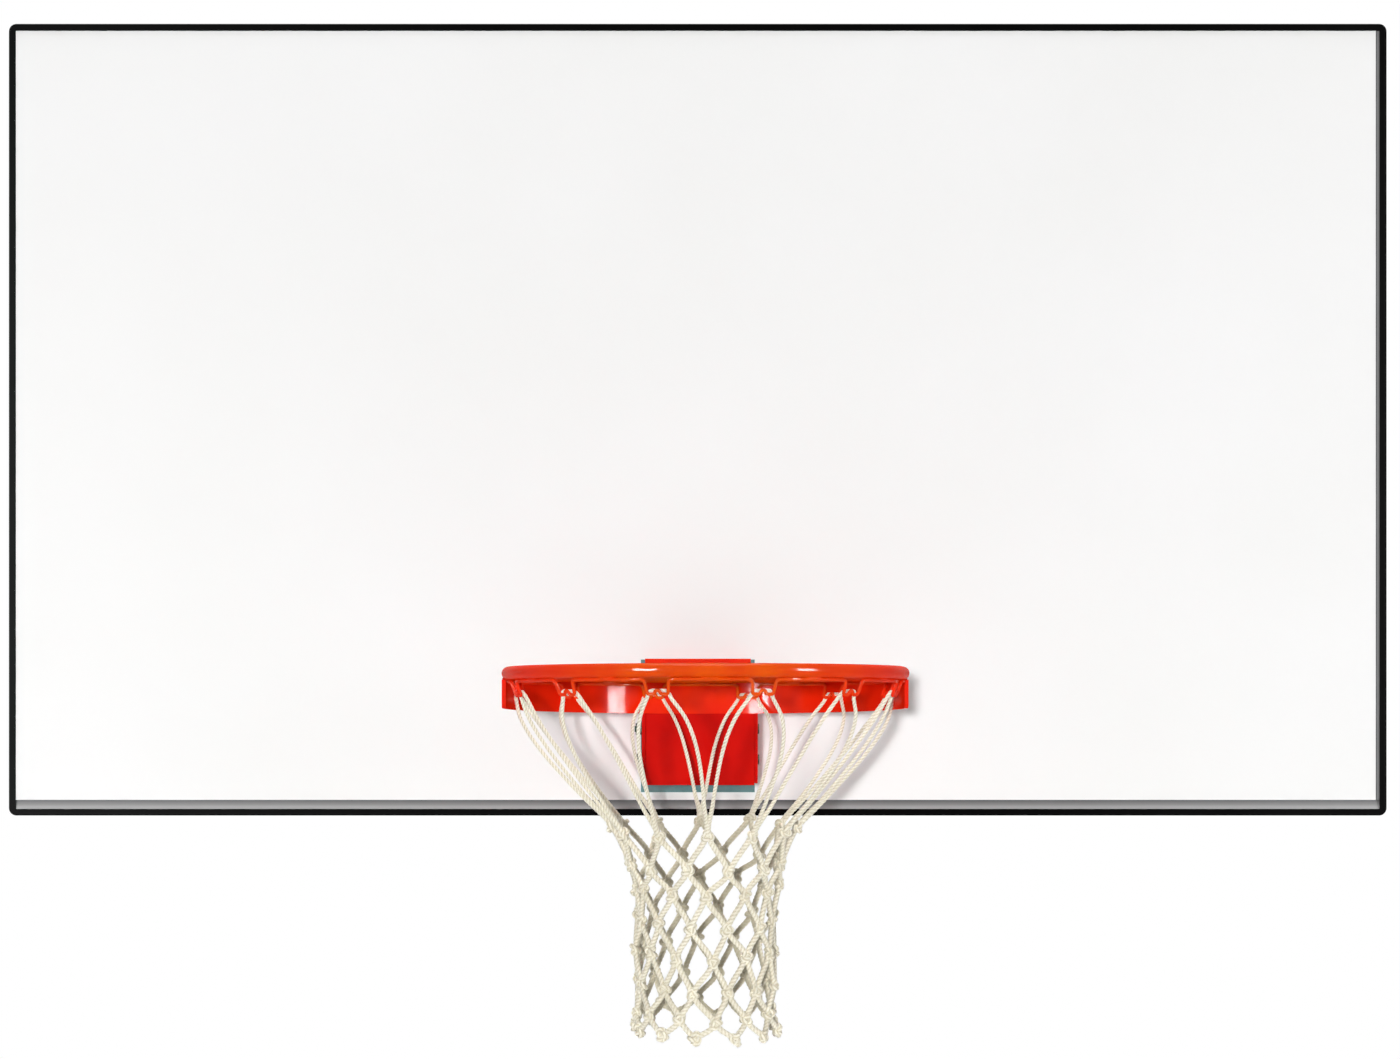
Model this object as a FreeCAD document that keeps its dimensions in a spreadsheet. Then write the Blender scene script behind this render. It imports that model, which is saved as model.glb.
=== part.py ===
import FreeCAD, Part
import Sketcher
import math
import os

# Basketball backboard with a breakaway rim and a net, in millimetres.
# X points right, +Y back to the wall and +Z up. The origin is the centre of the four mounting
# holes, on the plane that meets the wall. "ring plane" is the middle of the ring's rod.

Vector = FreeCAD.Vector
doc = FreeCAD.newDocument("backboard")

# Driving dimensions: alias, value, what it measures.
driving_dimensions = [
    ("board_width", 1829, "outside width of the board"),
    ("board_height", 1051, "outside height of the board"),
    ("corner_radius", 10, "outer corner radius of the edge rails"),
    ("lip_width", 8.7, "front lip of the edge rails, as seen from the front"),
    ("lip_thickness", 2.5, "how far the front lip stands in front of the white sheet"),
    ("rail_wall", 2.5, "web and rear lip thickness of the edge rails"),
    ("rear_lip_width", 20, "rear lip of the edge rails"),
    ("sheet_thickness", 3, "white face sheet"),
    ("sheet_tuck", 3, "how far the sheet and the beads reach under the lip"),
    ("backing_thickness", 16, "board behind the face sheet"),
    ("reveal_bottom", 12, "bead shown below the face sheet"),
    ("reveal_right", 5, "bead shown to the right of the face sheet"),
    ("bead_slope", 2, "how far the beads fall back towards the sheet"),
    ("tube_size", 40, "outside of the square rear tubes"),
    ("tube_wall", 2.5, "wall of the square rear tubes"),
    ("upright_spacing", 800, "between the middles of the two uprights"),
    ("crossbar_height", 184, "crossbars above and below the middle"),
    ("post_spacing", 190, "between the middles of the two rim posts"),
    ("plug_depth", 12, "plastic plugs in the tube ends"),
    ("corner_plate_leg", 90, "leg length of the corner plates"),
    ("corner_plate_width", 14, "leg width of the corner plates"),
    ("corner_plate_inset", 4, "corner plates from the outer edge"),
    ("corner_plate_thickness", 3, "corner plates"),
    ("mount_spacing_x", 889, "mounting holes, side to side"),
    ("mount_spacing_z", 508, "mounting holes, up and down"),
    ("mount_hole_radius", 7, "mounting holes"),
    ("ear_thickness", 8, "mounting ears"),
    ("ear_height", 70, "mounting ears"),
    ("ear_margin", 30, "mounting hole to the ear's end"),
    ("ring_rise", 182, "ring plane above the board's lower edge"),
    ("ring_bore", 457, "inside diameter of the ring"),
    ("ring_rod", 16, "diameter of the ring's rod"),
    ("ring_gap", 151, "board face to the inside of the ring"),
    ("brace_thickness", 4.8, "flat bar under the rear half of the ring"),
    ("brace_height", 40, "brace at the back"),
    ("brace_end_height", 34, "brace at its two ends"),
    ("brace_end_radius", 7, "rounded lower corners of the brace's ends"),
    ("pad_width", 151, "mounting pad"),
    ("pad_rise", 25, "top of the pad above the ring plane"),
    ("pad_height", 176, "mounting pad"),
    ("pad_thickness", 4, "mounting pad"),
    ("plate_width", 140, "back plate, between the cheeks"),
    ("plate_rise", 26, "top of the back plate above the ring plane"),
    ("plate_height", 163, "back plate"),
    ("plate_thickness", 8, "back plate"),
    ("rim_bolt_spacing_x", 101.6, "bolts that hold the rim, side to side"),
    ("rim_bolt_spacing_z", 127, "bolts that hold the rim, up and down"),
    ("rim_bolt_radius", 6, "bolts that hold the rim"),
    ("rim_bolt_end", 3, "bolts that hold the rim, beyond their nuts"),
    ("rim_hex_wall", 4.4, "heads and nuts of the rim bolts, bolt to a corner"),
    ("rim_head_height", 7.5, "heads of the rim bolts"),
    ("rim_nut_height", 9.6, "nuts of the rim bolts"),
    ("rim_washer_wall", 6, "washers of the rim bolts, bolt to the outside"),
    ("rim_washer_thickness", 2.4, "washers of the rim bolts"),
    ("rim_plate_height", 190, "steel plate behind the board at the rim"),
    ("rim_plate_thickness", 6, "steel plate behind the board at the rim"),
    ("cheek_thickness", 4.5, "side cheeks of the bracket"),
    ("cheek_rise", 14, "top of the cheeks above the ring plane"),
    ("cheek_setback", 4, "front edge of the cheeks behind the carrier's front plate"),
    ("cheek_shoulder", 11, "top edge of the cheeks, its end behind the pivot"),
    ("cheek_fall", 21, "front corner of the cheeks below the carrier's top"),
    ("cheek_chamfer", 8, "lower front corner of the cheeks"),
    ("side_gap", 0.5, "running gap between the cheeks and the carrier"),
    ("pivot_reach", 33, "pivot in front of the back plate"),
    ("pivot_drop", 107, "pivot below the ring plane"),
    ("stop_rise", 40, "stop bolt above the pivot"),
    ("cross_bolt_radius", 4, "pivot bolt and stop bolt"),
    ("cross_head_radius", 6.5, "round heads of the cross bolts"),
    ("cross_head_height", 5, "round heads of the cross bolts"),
    ("cross_nut_height", 8, "nuts of the cross bolts"),
    ("cross_hex_wall", 3.5, "nuts of the cross bolts, bolt to a corner"),
    ("cross_bolt_end", 1.4, "cross bolts beyond their nuts"),
    ("bush_wall", 3, "pivot bushes"),
    ("bush_length", 8, "pivot bushes"),
    ("spacer_wall", 2.7, "spacer tubes on the cross bolts"),
    ("bumper_radius", 11, "rubber rings that the carrier rests on"),
    ("bumper_length", 12, "rubber rings that the carrier rests on"),
    ("front_plate_thickness", 6, "front plate of the carrier"),
    ("front_plate_drop", 139, "bottom of the front plate below the ring plane"),
    ("front_gap", 2, "ring to the front plate"),
    ("flange_thickness", 4.5, "side flanges of the carrier"),
    ("flange_boss_radius", 16, "flange round the pivot"),
    ("carrier_rise", 97, "top of the carrier above the pivot"),
    ("carrier_top_depth", 42, "top plate of the carrier, front to back"),
    ("web_setback", 2.5, "spring web in front of the rubber rings"),
    ("web_thickness", 6, "spring web"),
    ("web_height", 44, "spring web"),
    ("saddle_thickness", 6, "saddle plates between the front plate and the brace"),
    ("saddle_horn", 17.4, "how far the saddle plates reach round the brace"),
    ("saddle_spacing", 20, "between the middles of the two saddle plates"),
    ("spring_spacing", 60, "between the two spring rods"),
    ("spring_rod_radius", 5, "spring rods"),
    ("rod_eye_radius", 11, "eyes of the spring rods"),
    ("rod_eye_width", 12, "eyes of the spring rods"),
    ("rod_swing_room", 2.2, "room round the rods in the spring web"),
    ("rod_end_gap", 2.5, "rod ends to the front plate"),
    ("rod_nut_height", 8, "nuts of the spring rods"),
    ("rod_hex_wall", 4, "nuts of the spring rods, rod to a corner"),
    ("rod_washer_radius", 17, "washers of the spring rods"),
    ("rod_washer_thickness", 3, "washers of the spring rods"),
    ("spring_radius", 13, "springs, middle of the wire"),
    ("spring_wire", 4.8, "springs, wire diameter"),
    ("spring_turns", 4, "springs"),
    ("hook_wire", 4, "net hook wire, diameter"),
    ("hook_inset", 0.5, "net hook wire's runs, inside the middle of the rod"),
    ("hook_depth", 17, "hooks below the wire's straight runs"),
    ("hook_lean", 6.5, "hooks lean in towards the ring's axis"),
    ("hook_half_width", 14, "hooks, middle to the top of an outer leg"),
    ("hook_loop_outside", 12.3, "hooks, middle to the bottom of an outer leg"),
    ("hook_loop_inside", 4, "hooks, middle to the bottom of an inner leg"),
    ("hook_shoulder_bend", 6.5, "hooks, bend radius from the run into an outer leg"),
    ("hook_bend", 3.4, "hooks, bend radius of the loops"),
    ("hook_hump_bend", 2.9, "hooks, bend radius of the middle hump"),
    ("hook_hump", 9, "middle hump of the hooks above their two loops"),
    ("cord_diameter", 5.2, "net cord"),
    ("cord_spacing", 15.4, "between the two cord legs on one hook"),
    ("cord_gap", 0.4, "cord to the hook wire it hangs on"),
    ("cord_drop", 10.4, "straight cord below a hook"),
    ("cord_bend", 15.6, "bend radius of the cord below a hook"),
    ("knot_bend", 5.2, "bend radius of the cords at a knot"),
    ("knot_gap", 0.2, "between the two cords of a knot"),
    ("net_count", 12, "hooks and net loops round the ring"),
    ("net_rows", 8, "rows of knots"),
    ("net_top_drop", 190, "first row of knots below the ring plane"),
    ("net_row_pitch", 34.3, "between rows of knots"),
    ("net_top_radius", 110, "net at its first row"),
    ("net_waist_radius", 80, "net at its waist"),
    ("net_mouth_radius", 85, "net at its last row"),
    ("net_tail", 12, "cord ends below the last row"),
    ("weld_gap", 0.1, "gap that a weld fills"),
    ("fit_gap", 0.3, "gap between faces that only come close"),
    ("bolt_gap", 0.15, "radial room of a bolt in its hole"),
    ("running_gap", 0.05, "radial room of a running fit"),
]

sheet = doc.addObject("Spreadsheet::Sheet", "dims")
for row, (alias, value, note) in enumerate(driving_dimensions, start=1):
    sheet.set(f"A{row}", note)
    sheet.set(f"B{row}", str(value))
    sheet.setAlias(f"B{row}", alias)
doc.recompute()

# Places that several pieces share, worked out from the driving dimensions.
shared_places = [
    ("half_width", "dims.board_width / 2"),
    ("half_height", "dims.board_height / 2"),
    ("tube_rear", "-dims.ear_thickness"),
    ("board_rear", "at.tube_rear - dims.tube_size"),
    ("rail_rear", "at.board_rear + dims.rail_wall"),
    ("backing_front", "at.board_rear - dims.backing_thickness"),
    ("face", "at.backing_front - dims.sheet_thickness"),
    ("lip_front", "at.face - dims.lip_thickness"),
    ("pad_front", "at.face - dims.pad_thickness"),
    ("plate_front", "at.pad_front - dims.plate_thickness"),
    ("tube_end", "at.half_height - dims.rear_lip_width"),
    ("tuck_edge_x", "at.half_width - dims.lip_width + dims.sheet_tuck"),
    ("tuck_edge_z", "at.half_height - dims.lip_width + dims.sheet_tuck"),
    ("sheet_right", "at.half_width - dims.lip_width - dims.reveal_right"),
    ("sheet_bottom", "-at.half_height + dims.lip_width + dims.reveal_bottom"),
    ("upright_x", "dims.upright_spacing / 2"),
    ("post_x", "dims.post_spacing / 2"),
    ("half_tube", "dims.tube_size / 2"),
    ("mount_x", "dims.mount_spacing_x / 2"),
    ("ear_inner", "min(at.upright_x - at.half_tube; at.mount_x - dims.ear_margin)"),
    ("ear_outer", "max(at.upright_x + at.half_tube; at.mount_x + dims.ear_margin)"),
    ("ring_y", "at.face - dims.ring_gap - dims.ring_bore / 2"),
    ("ring_z", "-at.half_height + dims.ring_rise"),
    ("ring_mid", "(dims.ring_bore + dims.ring_rod) / 2"),
    ("ring_outer", "dims.ring_bore / 2 + dims.ring_rod"),
    ("carrier_front", "at.ring_y + at.ring_outer + dims.front_gap"),
    ("carrier_back", "at.carrier_front + dims.front_plate_thickness"),
    ("pivot_y", "at.plate_front - dims.pivot_reach"),
    ("pivot_z", "at.ring_z - dims.pivot_drop"),
    ("stop_z", "at.pivot_z + dims.stop_rise"),
    ("plate_top", "at.ring_z + dims.plate_rise"),
    ("plate_bottom", "at.plate_top - dims.plate_height"),
    ("rim_bolt_z", "at.plate_top - dims.plate_height / 2"),
    ("half_plate", "dims.plate_width / 2"),
    ("cheek_outer", "at.half_plate + dims.cheek_thickness"),
    ("carrier_half", "at.half_plate - dims.side_gap"),
    ("flange_inner", "at.carrier_half - dims.flange_thickness"),
    ("carrier_bottom", "at.ring_z - dims.front_plate_drop"),
    ("carrier_top_z", "at.pivot_z + dims.carrier_rise"),
    ("flange_rear", "at.pivot_y - dims.bumper_radius - dims.fit_gap"),
    ("web_rear", "at.flange_rear - dims.web_setback"),
    ("web_front", "at.web_rear - dims.web_thickness"),
    ("spring_x", "dims.spring_spacing / 2"),
    ("rod_end", "at.carrier_back + dims.rod_end_gap"),
    ("rod_nut_front", "at.rod_end + dims.rod_end_gap"),
    ("rod_nut_rear", "at.rod_nut_front + dims.rod_nut_height"),
    ("rod_washer_rear", "at.rod_nut_rear + dims.rod_washer_thickness"),
    ("brace_chord", "dims.ring_rod * dims.brace_thickness - dims.brace_thickness ^ 2"),
    ("brace_top", "at.ring_z - sqrt(at.brace_chord) - dims.weld_gap"),
    ("brace_inner", "at.ring_outer - dims.brace_thickness"),
    ("spacer_radius", "dims.cross_bolt_radius + dims.bolt_gap + dims.spacer_wall"),
    ("bush_radius", "dims.cross_bolt_radius + dims.running_gap + dims.bush_wall"),
    ("hook_radius", "at.ring_mid - dims.hook_inset"),
    ("hook_level", "-(dims.ring_rod + dims.hook_wire) / 2 - dims.weld_gap"),
]
at = doc.addObject("App::VarSet", "at")
for name, expression in shared_places:
    at.addProperty("App::PropertyFloat", name)
    at.setExpression(name, expression)
doc.recompute()

nodes = []
tiny = 1e-6


# Helpers for bound objects. Every size and place is an expression on the sheet.
def bind(piece, expressions):
    for path, expression in expressions.items():
        piece.setExpression(path, expression)


def place(piece, x, y, z, turn=FreeCAD.Rotation()):
    piece.Placement = FreeCAD.Placement(Vector(), turn)
    bind(piece, {"Placement.Base.x": x, "Placement.Base.y": y, "Placement.Base.z": z})
    return piece


def node(piece):
    nodes.append(piece)
    return piece


def box(name, x, y, z):
    piece = doc.addObject("Part::Box", name)
    sides = zip(("Length", "Width", "Height"), (x, y, z))
    bind(piece, {side: f"({high}) - ({low})" for side, (low, high) in sides})
    return place(piece, x[0], y[0], z[0])


axis_turns = {
    "X": FreeCAD.Rotation(Vector(0, 1, 0), 90),
    "Y": FreeCAD.Rotation(Vector(1, 0, 0), -90),
    "Z": FreeCAD.Rotation(),
}


def along(piece, axis, span, centre):
    bind(piece, {"Height": f"({span[1]}) - ({span[0]})"})
    base = list(centre)
    base.insert("XYZ".index(axis), span[0])
    return place(piece, *base, turn=axis_turns[axis])


def cylinder(name, radius, axis, span, centre):
    piece = doc.addObject("Part::Cylinder", name)
    bind(piece, {"Radius": radius})
    return along(piece, axis, span, centre)


def hexagon(name, radius, axis, span, centre):
    piece = doc.addObject("Part::Prism", name)
    piece.Polygon = 6
    bind(piece, {"Circumradius": radius})
    return along(piece, axis, span, centre)


def group(name, members):
    piece = doc.addObject("Part::Compound", name)
    piece.Links = members
    return piece


def fuse(name, *members):
    piece = doc.addObject("Part::MultiFuse", name)
    piece.Shapes = list(members)
    return piece


def cut(name, base, *tools):
    piece = doc.addObject("Part::Cut", name)
    piece.Base = base
    piece.Tool = tools[0] if len(tools) == 1 else group(f"{name}_tools", list(tools))
    return piece


def common(name, base, tool):
    piece = doc.addObject("Part::Common", name)
    piece.Base = base
    piece.Tool = tool
    return piece


def sleeve(name, radius, bore, axis, span, centre):
    outside = cylinder(f"{name}_outside", radius, axis, span, centre)
    return cut(name, outside, cylinder(f"{name}_bore", bore, axis, span, centre))


# Sketched plates: a polygon whose corners are bound to the sheet, padded to a thickness.
probe = doc.addObject("App::VarSet", "probe")
probe.addProperty("App::PropertyFloat", "value")


def number(expression):
    probe.setExpression("value", expression)
    probe.recompute()
    return probe.value


def sketched_plate(name, plane, corners, thickness, position):
    body = doc.addObject("PartDesign::Body", name)
    sketch = body.newObject("Sketcher::SketchObject", f"{name}_outline")
    support = [plate for plate in body.Origin.OriginFeatures if plate.Role == plane]
    sketch.AttachmentSupport = [(support[0], "")]
    sketch.MapMode = "FlatFace"
    points = [Vector(number(across), number(up), 0) for across, up in corners]
    lines = range(len(points))
    for line in lines:
        sketch.addGeometry(Part.LineSegment(points[line], points[(line + 1) % len(points)]), False)
    for line in lines:
        sketch.addConstraint(Sketcher.Constraint("Coincident", line, 2, (line + 1) % len(points), 1))
    for line in lines:
        for axis, expression, place_now in zip("XY", corners[line], points[line]):
            distance = Sketcher.Constraint(f"Distance{axis}", -1, 1, line, 1, place_now)
            index = sketch.addConstraint(distance)
            sketch.setExpression(f"Constraints[{index}]", expression)
    pad = body.newObject("PartDesign::Pad", f"{name}_pad")
    pad.Profile = sketch
    bind(pad, {"Length": thickness})
    return place(body, *position)


def rounded(body, radius, chosen):
    doc.recompute()
    pad = body.Tip
    edges = []
    for index, edge in enumerate(pad.Shape.Edges, start=1):
        if chosen(edge.Vertexes[0].Point, edge.Vertexes[1].Point):
            edges.append(f"Edge{index}")
    fillet = body.newObject("PartDesign::Fillet", f"{body.Label}_rounding")
    fillet.Base = (pad, edges)
    bind(fillet, {"Radius": radius})
    return body


def rounded_panel(name, half_width, half_height, y_span, radius):
    corners = [
        (f"-({half_width})", f"-({half_height})"),
        (half_width, f"-({half_height})"),
        (half_width, half_height),
        (f"-({half_width})", half_height),
    ]
    thickness = f"({y_span[1]}) - ({y_span[0]})"
    body = sketched_plate(name, "XZ_Plane", corners, thickness, ("0", y_span[1], "0"))
    return rounded(body, radius, lambda low, high: abs(high.x - low.x) + abs(high.z - low.z) < tiny)


# Edge rails: one C-section frame with a round outer corner, cut along its four mitres.
def edge_rails():
    block_y = ("at.lip_front", "at.rail_rear")
    block = rounded_panel("frame_block", "at.half_width", "at.half_height", block_y, "dims.corner_radius")
    channel = rounded_panel(
        "frame_channel",
        "at.half_width - dims.rail_wall",
        "at.half_height - dims.rail_wall",
        ("at.face", "at.board_rear"),
        "dims.corner_radius - dims.rail_wall",
    )
    front_window = box(
        "frame_front_window",
        ("-at.half_width + dims.lip_width", "at.half_width - dims.lip_width"),
        ("at.lip_front", "at.face"),
        ("-at.half_height + dims.lip_width", "at.half_height - dims.lip_width"),
    )
    rear_window = box(
        "frame_rear_window",
        ("-at.half_width + dims.rear_lip_width", "at.half_width - dims.rear_lip_width"),
        ("at.board_rear", "at.rail_rear"),
        ("-at.half_height + dims.rear_lip_width", "at.half_height - dims.rear_lip_width"),
    )
    frame = cut("frame_section", block, channel, front_window, rear_window)
    mitre_depth = "dims.rear_lip_width + dims.rail_wall"
    level = FreeCAD.Rotation(Vector(1, 0, 0), -90)
    sides = [
        ("rail_top", 0, "dims.board_width", ("-at.half_width", "at.half_height")),
        ("rail_right", 90, "dims.board_height", ("at.half_width", "at.half_height")),
        ("rail_bottom", 180, "dims.board_width", ("at.half_width", "-at.half_height")),
        ("rail_left", 270, "dims.board_height", ("-at.half_width", "-at.half_height")),
    ]
    for name, angle, length, (x, z) in sides:
        mitre = doc.addObject("Part::Wedge", f"{name}_mitre")
        bind(mitre, {"Xmin": "0", "Xmax": length, "Ymin": "0", "Ymax": mitre_depth})
        bind(mitre, {"X2min": mitre_depth, "X2max": f"{length} - ({mitre_depth})"})
        depth = "at.rail_rear - at.lip_front"
        bind(mitre, {"Zmin": "0", "Z2min": "0", "Zmax": depth, "Z2max": depth})
        place(mitre, x, "at.lip_front", z, FreeCAD.Rotation(Vector(0, 1, 0), angle) * level)
        node(common(name, frame, mitre))


# The four bolts through the board that hold the rim.
def rim_bolt_places():
    for side in ("-", ""):
        for level in ("-", ""):
            x = f"{side}dims.rim_bolt_spacing_x / 2"
            z = f"at.rim_bolt_z + {level}dims.rim_bolt_spacing_z / 2"
            yield x, z


def rim_bolt_holes(name, y_span):
    radius = "dims.rim_bolt_radius + dims.bolt_gap"
    places = enumerate(rim_bolt_places(), start=1)
    return [cylinder(f"{name}_hole_{count}", radius, "Y", y_span, (x, z)) for count, (x, z) in places]


def drilled_plate(name, x, y, z):
    return node(cut(name, box(f"{name}_blank", x, y, z), *rim_bolt_holes(name, y)))


def board_sheets():
    sheet_x = ("-at.tuck_edge_x", "at.sheet_right")
    sheet_z = ("at.sheet_bottom", "at.tuck_edge_z")
    drilled_plate("face_sheet", sheet_x, ("at.face", "at.backing_front"), sheet_z)
    y_span = ("at.backing_front", "at.board_rear")
    half_width = "at.half_width - dims.rail_wall"
    half_height = "at.half_height - dims.rail_wall"
    radius = "dims.corner_radius - dims.rail_wall"
    blank = rounded_panel("backing_blank", half_width, half_height, y_span, radius)
    node(cut("backing_board", blank, *rim_bolt_holes("backing_board", y_span)))


# Beads in the reveal: they fall back a little towards the white sheet.
def bead(name, length, height, x, z, turn):
    piece = doc.addObject("Part::Wedge", name)
    bind(piece, {"Xmin": "0", "X2min": "0", "Xmax": length, "X2max": length, "Ymin": "0", "Ymax": height})
    slim = "dims.sheet_thickness - dims.bead_slope"
    bind(piece, {"Zmin": "0", "Z2min": "0", "Zmax": "dims.sheet_thickness", "Z2max": slim})
    node(place(piece, x, "at.backing_front", z, turn))


def beads():
    facing_front = FreeCAD.Rotation(Vector(1, 0, 0), 90)
    on_edge = FreeCAD.Rotation(Vector(0, 0, 1), Vector(-1, 0, 0), Vector(0, -1, 0))
    height = "at.sheet_bottom + at.tuck_edge_z"
    bead("bead_bottom", "2 * at.tuck_edge_x", height, "-at.tuck_edge_x", "-at.tuck_edge_z", facing_front)
    length = "at.tuck_edge_z - at.sheet_bottom"
    width = "at.tuck_edge_x - at.sheet_right"
    bead("bead_right", length, width, "at.tuck_edge_x", "at.sheet_bottom", on_edge)


# Rear frame of square tube. Lengthwise is the tube's own axis, the other two are its outside.
def square_tube(name, axis, x, y, z):
    limits = {"X": x, "Y": y, "Z": z}
    wall = "dims.tube_wall"
    inside = {}
    for letter, (low, high) in limits.items():
        inside[letter] = (low, high) if letter == axis else (f"{low} + {wall}", f"{high} - {wall}")
    outer = box(f"{name}_outside", x, y, z)
    return node(cut(name, outer, box(f"{name}_bore", inside["X"], inside["Y"], inside["Z"])))


def mirrored(side, low, high):
    return (low, high) if side == "right" else (f"-({high})", f"-({low})")


def about(middle, half):
    return f"{middle} - {half}", f"{middle} + {half}"


def rear_frame():
    tube_y = ("at.board_rear", "at.tube_rear")
    upright_x = about("at.upright_x", "at.half_tube")
    post_x = about("at.post_x", "at.half_tube")
    full_height = ("-at.tube_end", "at.tube_end")
    post_z = ("-at.tube_end", "-dims.crossbar_height - at.half_tube")
    plugs = []
    inside_y = (f"{tube_y[0]} + dims.tube_wall", f"{tube_y[1]} - dims.tube_wall")
    low_plug = ("-at.tube_end", "-at.tube_end + dims.plug_depth")
    high_plug = ("at.tube_end - dims.plug_depth", "at.tube_end")
    for side in ("left", "right"):
        square_tube(f"upright_{side}", "Z", mirrored(side, *upright_x), tube_y, full_height)
        square_tube(f"rim_post_{side}", "Z", mirrored(side, *post_x), tube_y, post_z)
        for tube, tube_x, plug_z in (
            ("upright_low", upright_x, low_plug),
            ("upright_high", upright_x, high_plug),
            ("post_low", post_x, low_plug),
        ):
            inside_x = mirrored(side, f"{tube_x[0]} + dims.tube_wall", f"{tube_x[1]} - dims.tube_wall")
            plugs.append(box(f"{tube}_plug_{side}", inside_x, inside_y, plug_z))
    node(group("tube_plugs", plugs))
    for level, sign in (("upper", ""), ("lower", "-")):
        bar_z = about(f"{sign}dims.crossbar_height", "at.half_tube")
        square_tube(f"crossbar_{level}", "X", (f"-({upright_x[0]})", upright_x[0]), tube_y, bar_z)
        for side in ("left", "right"):
            reach = mirrored(side, upright_x[1], "at.half_width - dims.rear_lip_width")
            square_tube(f"outrigger_{level}_{side}", "X", reach, tube_y, bar_z)


# Mounting ears on the uprights, with the four holes that the wall frame bolts to.
def mount_ears():
    for level, sign in (("upper", ""), ("lower", "-")):
        hole_z = f"{sign}dims.mount_spacing_z / 2"
        for side in ("left", "right"):
            name = f"mount_ear_{level}_{side}"
            ear_x = mirrored(side, "at.ear_inner", "at.ear_outer")
            blank = box(f"{name}_blank", ear_x, ("at.tube_rear", "0"), about(hole_z, "dims.ear_height / 2"))
            centre = ("at.mount_x" if side == "right" else "-at.mount_x", hole_z)
            hole = cylinder(f"{name}_hole", "dims.mount_hole_radius", "Y", ("at.tube_rear", "0"), centre)
            node(cut(name, blank, hole))


# Flat L-shaped plates that tie the rails together at the back of each corner.
def corner_plates():
    y_span = ("at.rail_rear", "at.rail_rear + dims.corner_plate_thickness")
    outer_x = "at.half_width - dims.corner_plate_inset"
    outer_z = "at.half_height - dims.corner_plate_inset"
    leg = "dims.corner_plate_leg"
    width = "dims.corner_plate_width"
    plates = []
    for side in ("left", "right"):
        for level in ("left", "right"):
            name = f"corner_plate_{'high' if level == 'right' else 'low'}_{side}"
            square_x = mirrored(side, f"{outer_x} - {leg}", outer_x)
            square_z = mirrored(level, f"{outer_z} - {leg}", outer_z)
            bare_x = mirrored(side, f"{outer_x} - {leg}", f"{outer_x} - {width}")
            bare_z = mirrored(level, f"{outer_z} - {leg}", f"{outer_z} - {width}")
            square = box(f"{name}_square", square_x, y_span, square_z)
            plates.append(cut(name, square, box(f"{name}_bare", bare_x, y_span, bare_z)))
    node(group("corner_plates", plates))


# Fixed half of the rim: pad, back plate, cheeks and the bolts through the board.
def rim_fixings():
    rim_plate_x = ("-at.post_x + at.half_tube", "at.post_x - at.half_tube")
    rim_plate_y = ("at.board_rear", "at.board_rear + dims.rim_plate_thickness")
    rim_plate_z = about("at.rim_bolt_z", "dims.rim_plate_height / 2")
    drilled_plate("rim_backing_plate", rim_plate_x, rim_plate_y, rim_plate_z)
    washer_y = (rim_plate_y[1], f"{rim_plate_y[1]} + dims.rim_washer_thickness")
    nut_y = (washer_y[1], f"{washer_y[1]} + dims.rim_nut_height")
    end_y = f"{nut_y[1]} + dims.rim_bolt_end"
    head_y = ("at.plate_front - dims.rim_head_height", "at.plate_front")
    hex_radius = "dims.rim_bolt_radius + dims.rim_hex_wall"
    washer_radius = "dims.rim_bolt_radius + dims.rim_washer_wall"
    bore = "dims.rim_bolt_radius + dims.running_gap"
    bolts, washers, nuts = [], [], []
    for count, centre in enumerate(rim_bolt_places(), start=1):
        head = hexagon(f"rim_bolt_head_{count}", hex_radius, "Y", head_y, centre)
        shank = cylinder(f"rim_bolt_shank_{count}", "dims.rim_bolt_radius", "Y", (head_y[1], end_y), centre)
        bolts.append(fuse(f"rim_bolt_{count}", head, shank))
        washers.append(sleeve(f"rim_washer_{count}", washer_radius, bore, "Y", washer_y, centre))
        nut = hexagon(f"rim_nut_{count}_blank", hex_radius, "Y", nut_y, centre)
        nuts.append(cut(f"rim_nut_{count}", nut, cylinder(f"rim_nut_{count}_bore", bore, "Y", nut_y, centre)))
    node(group("rim_bolts", bolts))
    node(group("rim_washers", washers))
    node(group("rim_nuts", nuts))


def rim_bracket():
    pad_z = ("at.ring_z + dims.pad_rise - dims.pad_height", "at.ring_z + dims.pad_rise")
    drilled_plate("mounting_pad", about("0", "dims.pad_width / 2"), ("at.pad_front", "at.face"), pad_z)
    plate_z = ("at.plate_bottom", "at.plate_top")
    plate_y = ("at.plate_front", "at.pad_front")
    drilled_plate("back_plate", ("-at.half_plate", "at.half_plate"), plate_y, plate_z)
    front_edge = "at.carrier_back + dims.cheek_setback"
    cheek_top = "at.ring_z + dims.cheek_rise"
    corners = [
        ("at.pad_front", "at.plate_bottom"),
        ("at.pad_front", cheek_top),
        ("at.pivot_y + dims.cheek_shoulder", cheek_top),
        (front_edge, "at.carrier_top_z - dims.cheek_fall"),
        (front_edge, "at.plate_bottom + dims.cheek_chamfer"),
        (f"{front_edge} + dims.cheek_chamfer", "at.plate_bottom"),
    ]
    for name, x in (("cheek_left", "-at.cheek_outer"), ("cheek_right", "at.half_plate")):
        blank = sketched_plate(f"{name}_blank", "YZ_Plane", corners, "dims.cheek_thickness", (x, "0", "0"))
        radius = "dims.cross_bolt_radius + dims.bolt_gap"
        span = (x, f"{x} + dims.cheek_thickness")
        holes = []
        for bolt, level in (("pivot", "at.pivot_z"), ("stop", "at.stop_z")):
            holes.append(cylinder(f"{name}_{bolt}_hole", radius, "X", span, ("at.pivot_y", level)))
        node(cut(name, blank, *holes))


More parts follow.
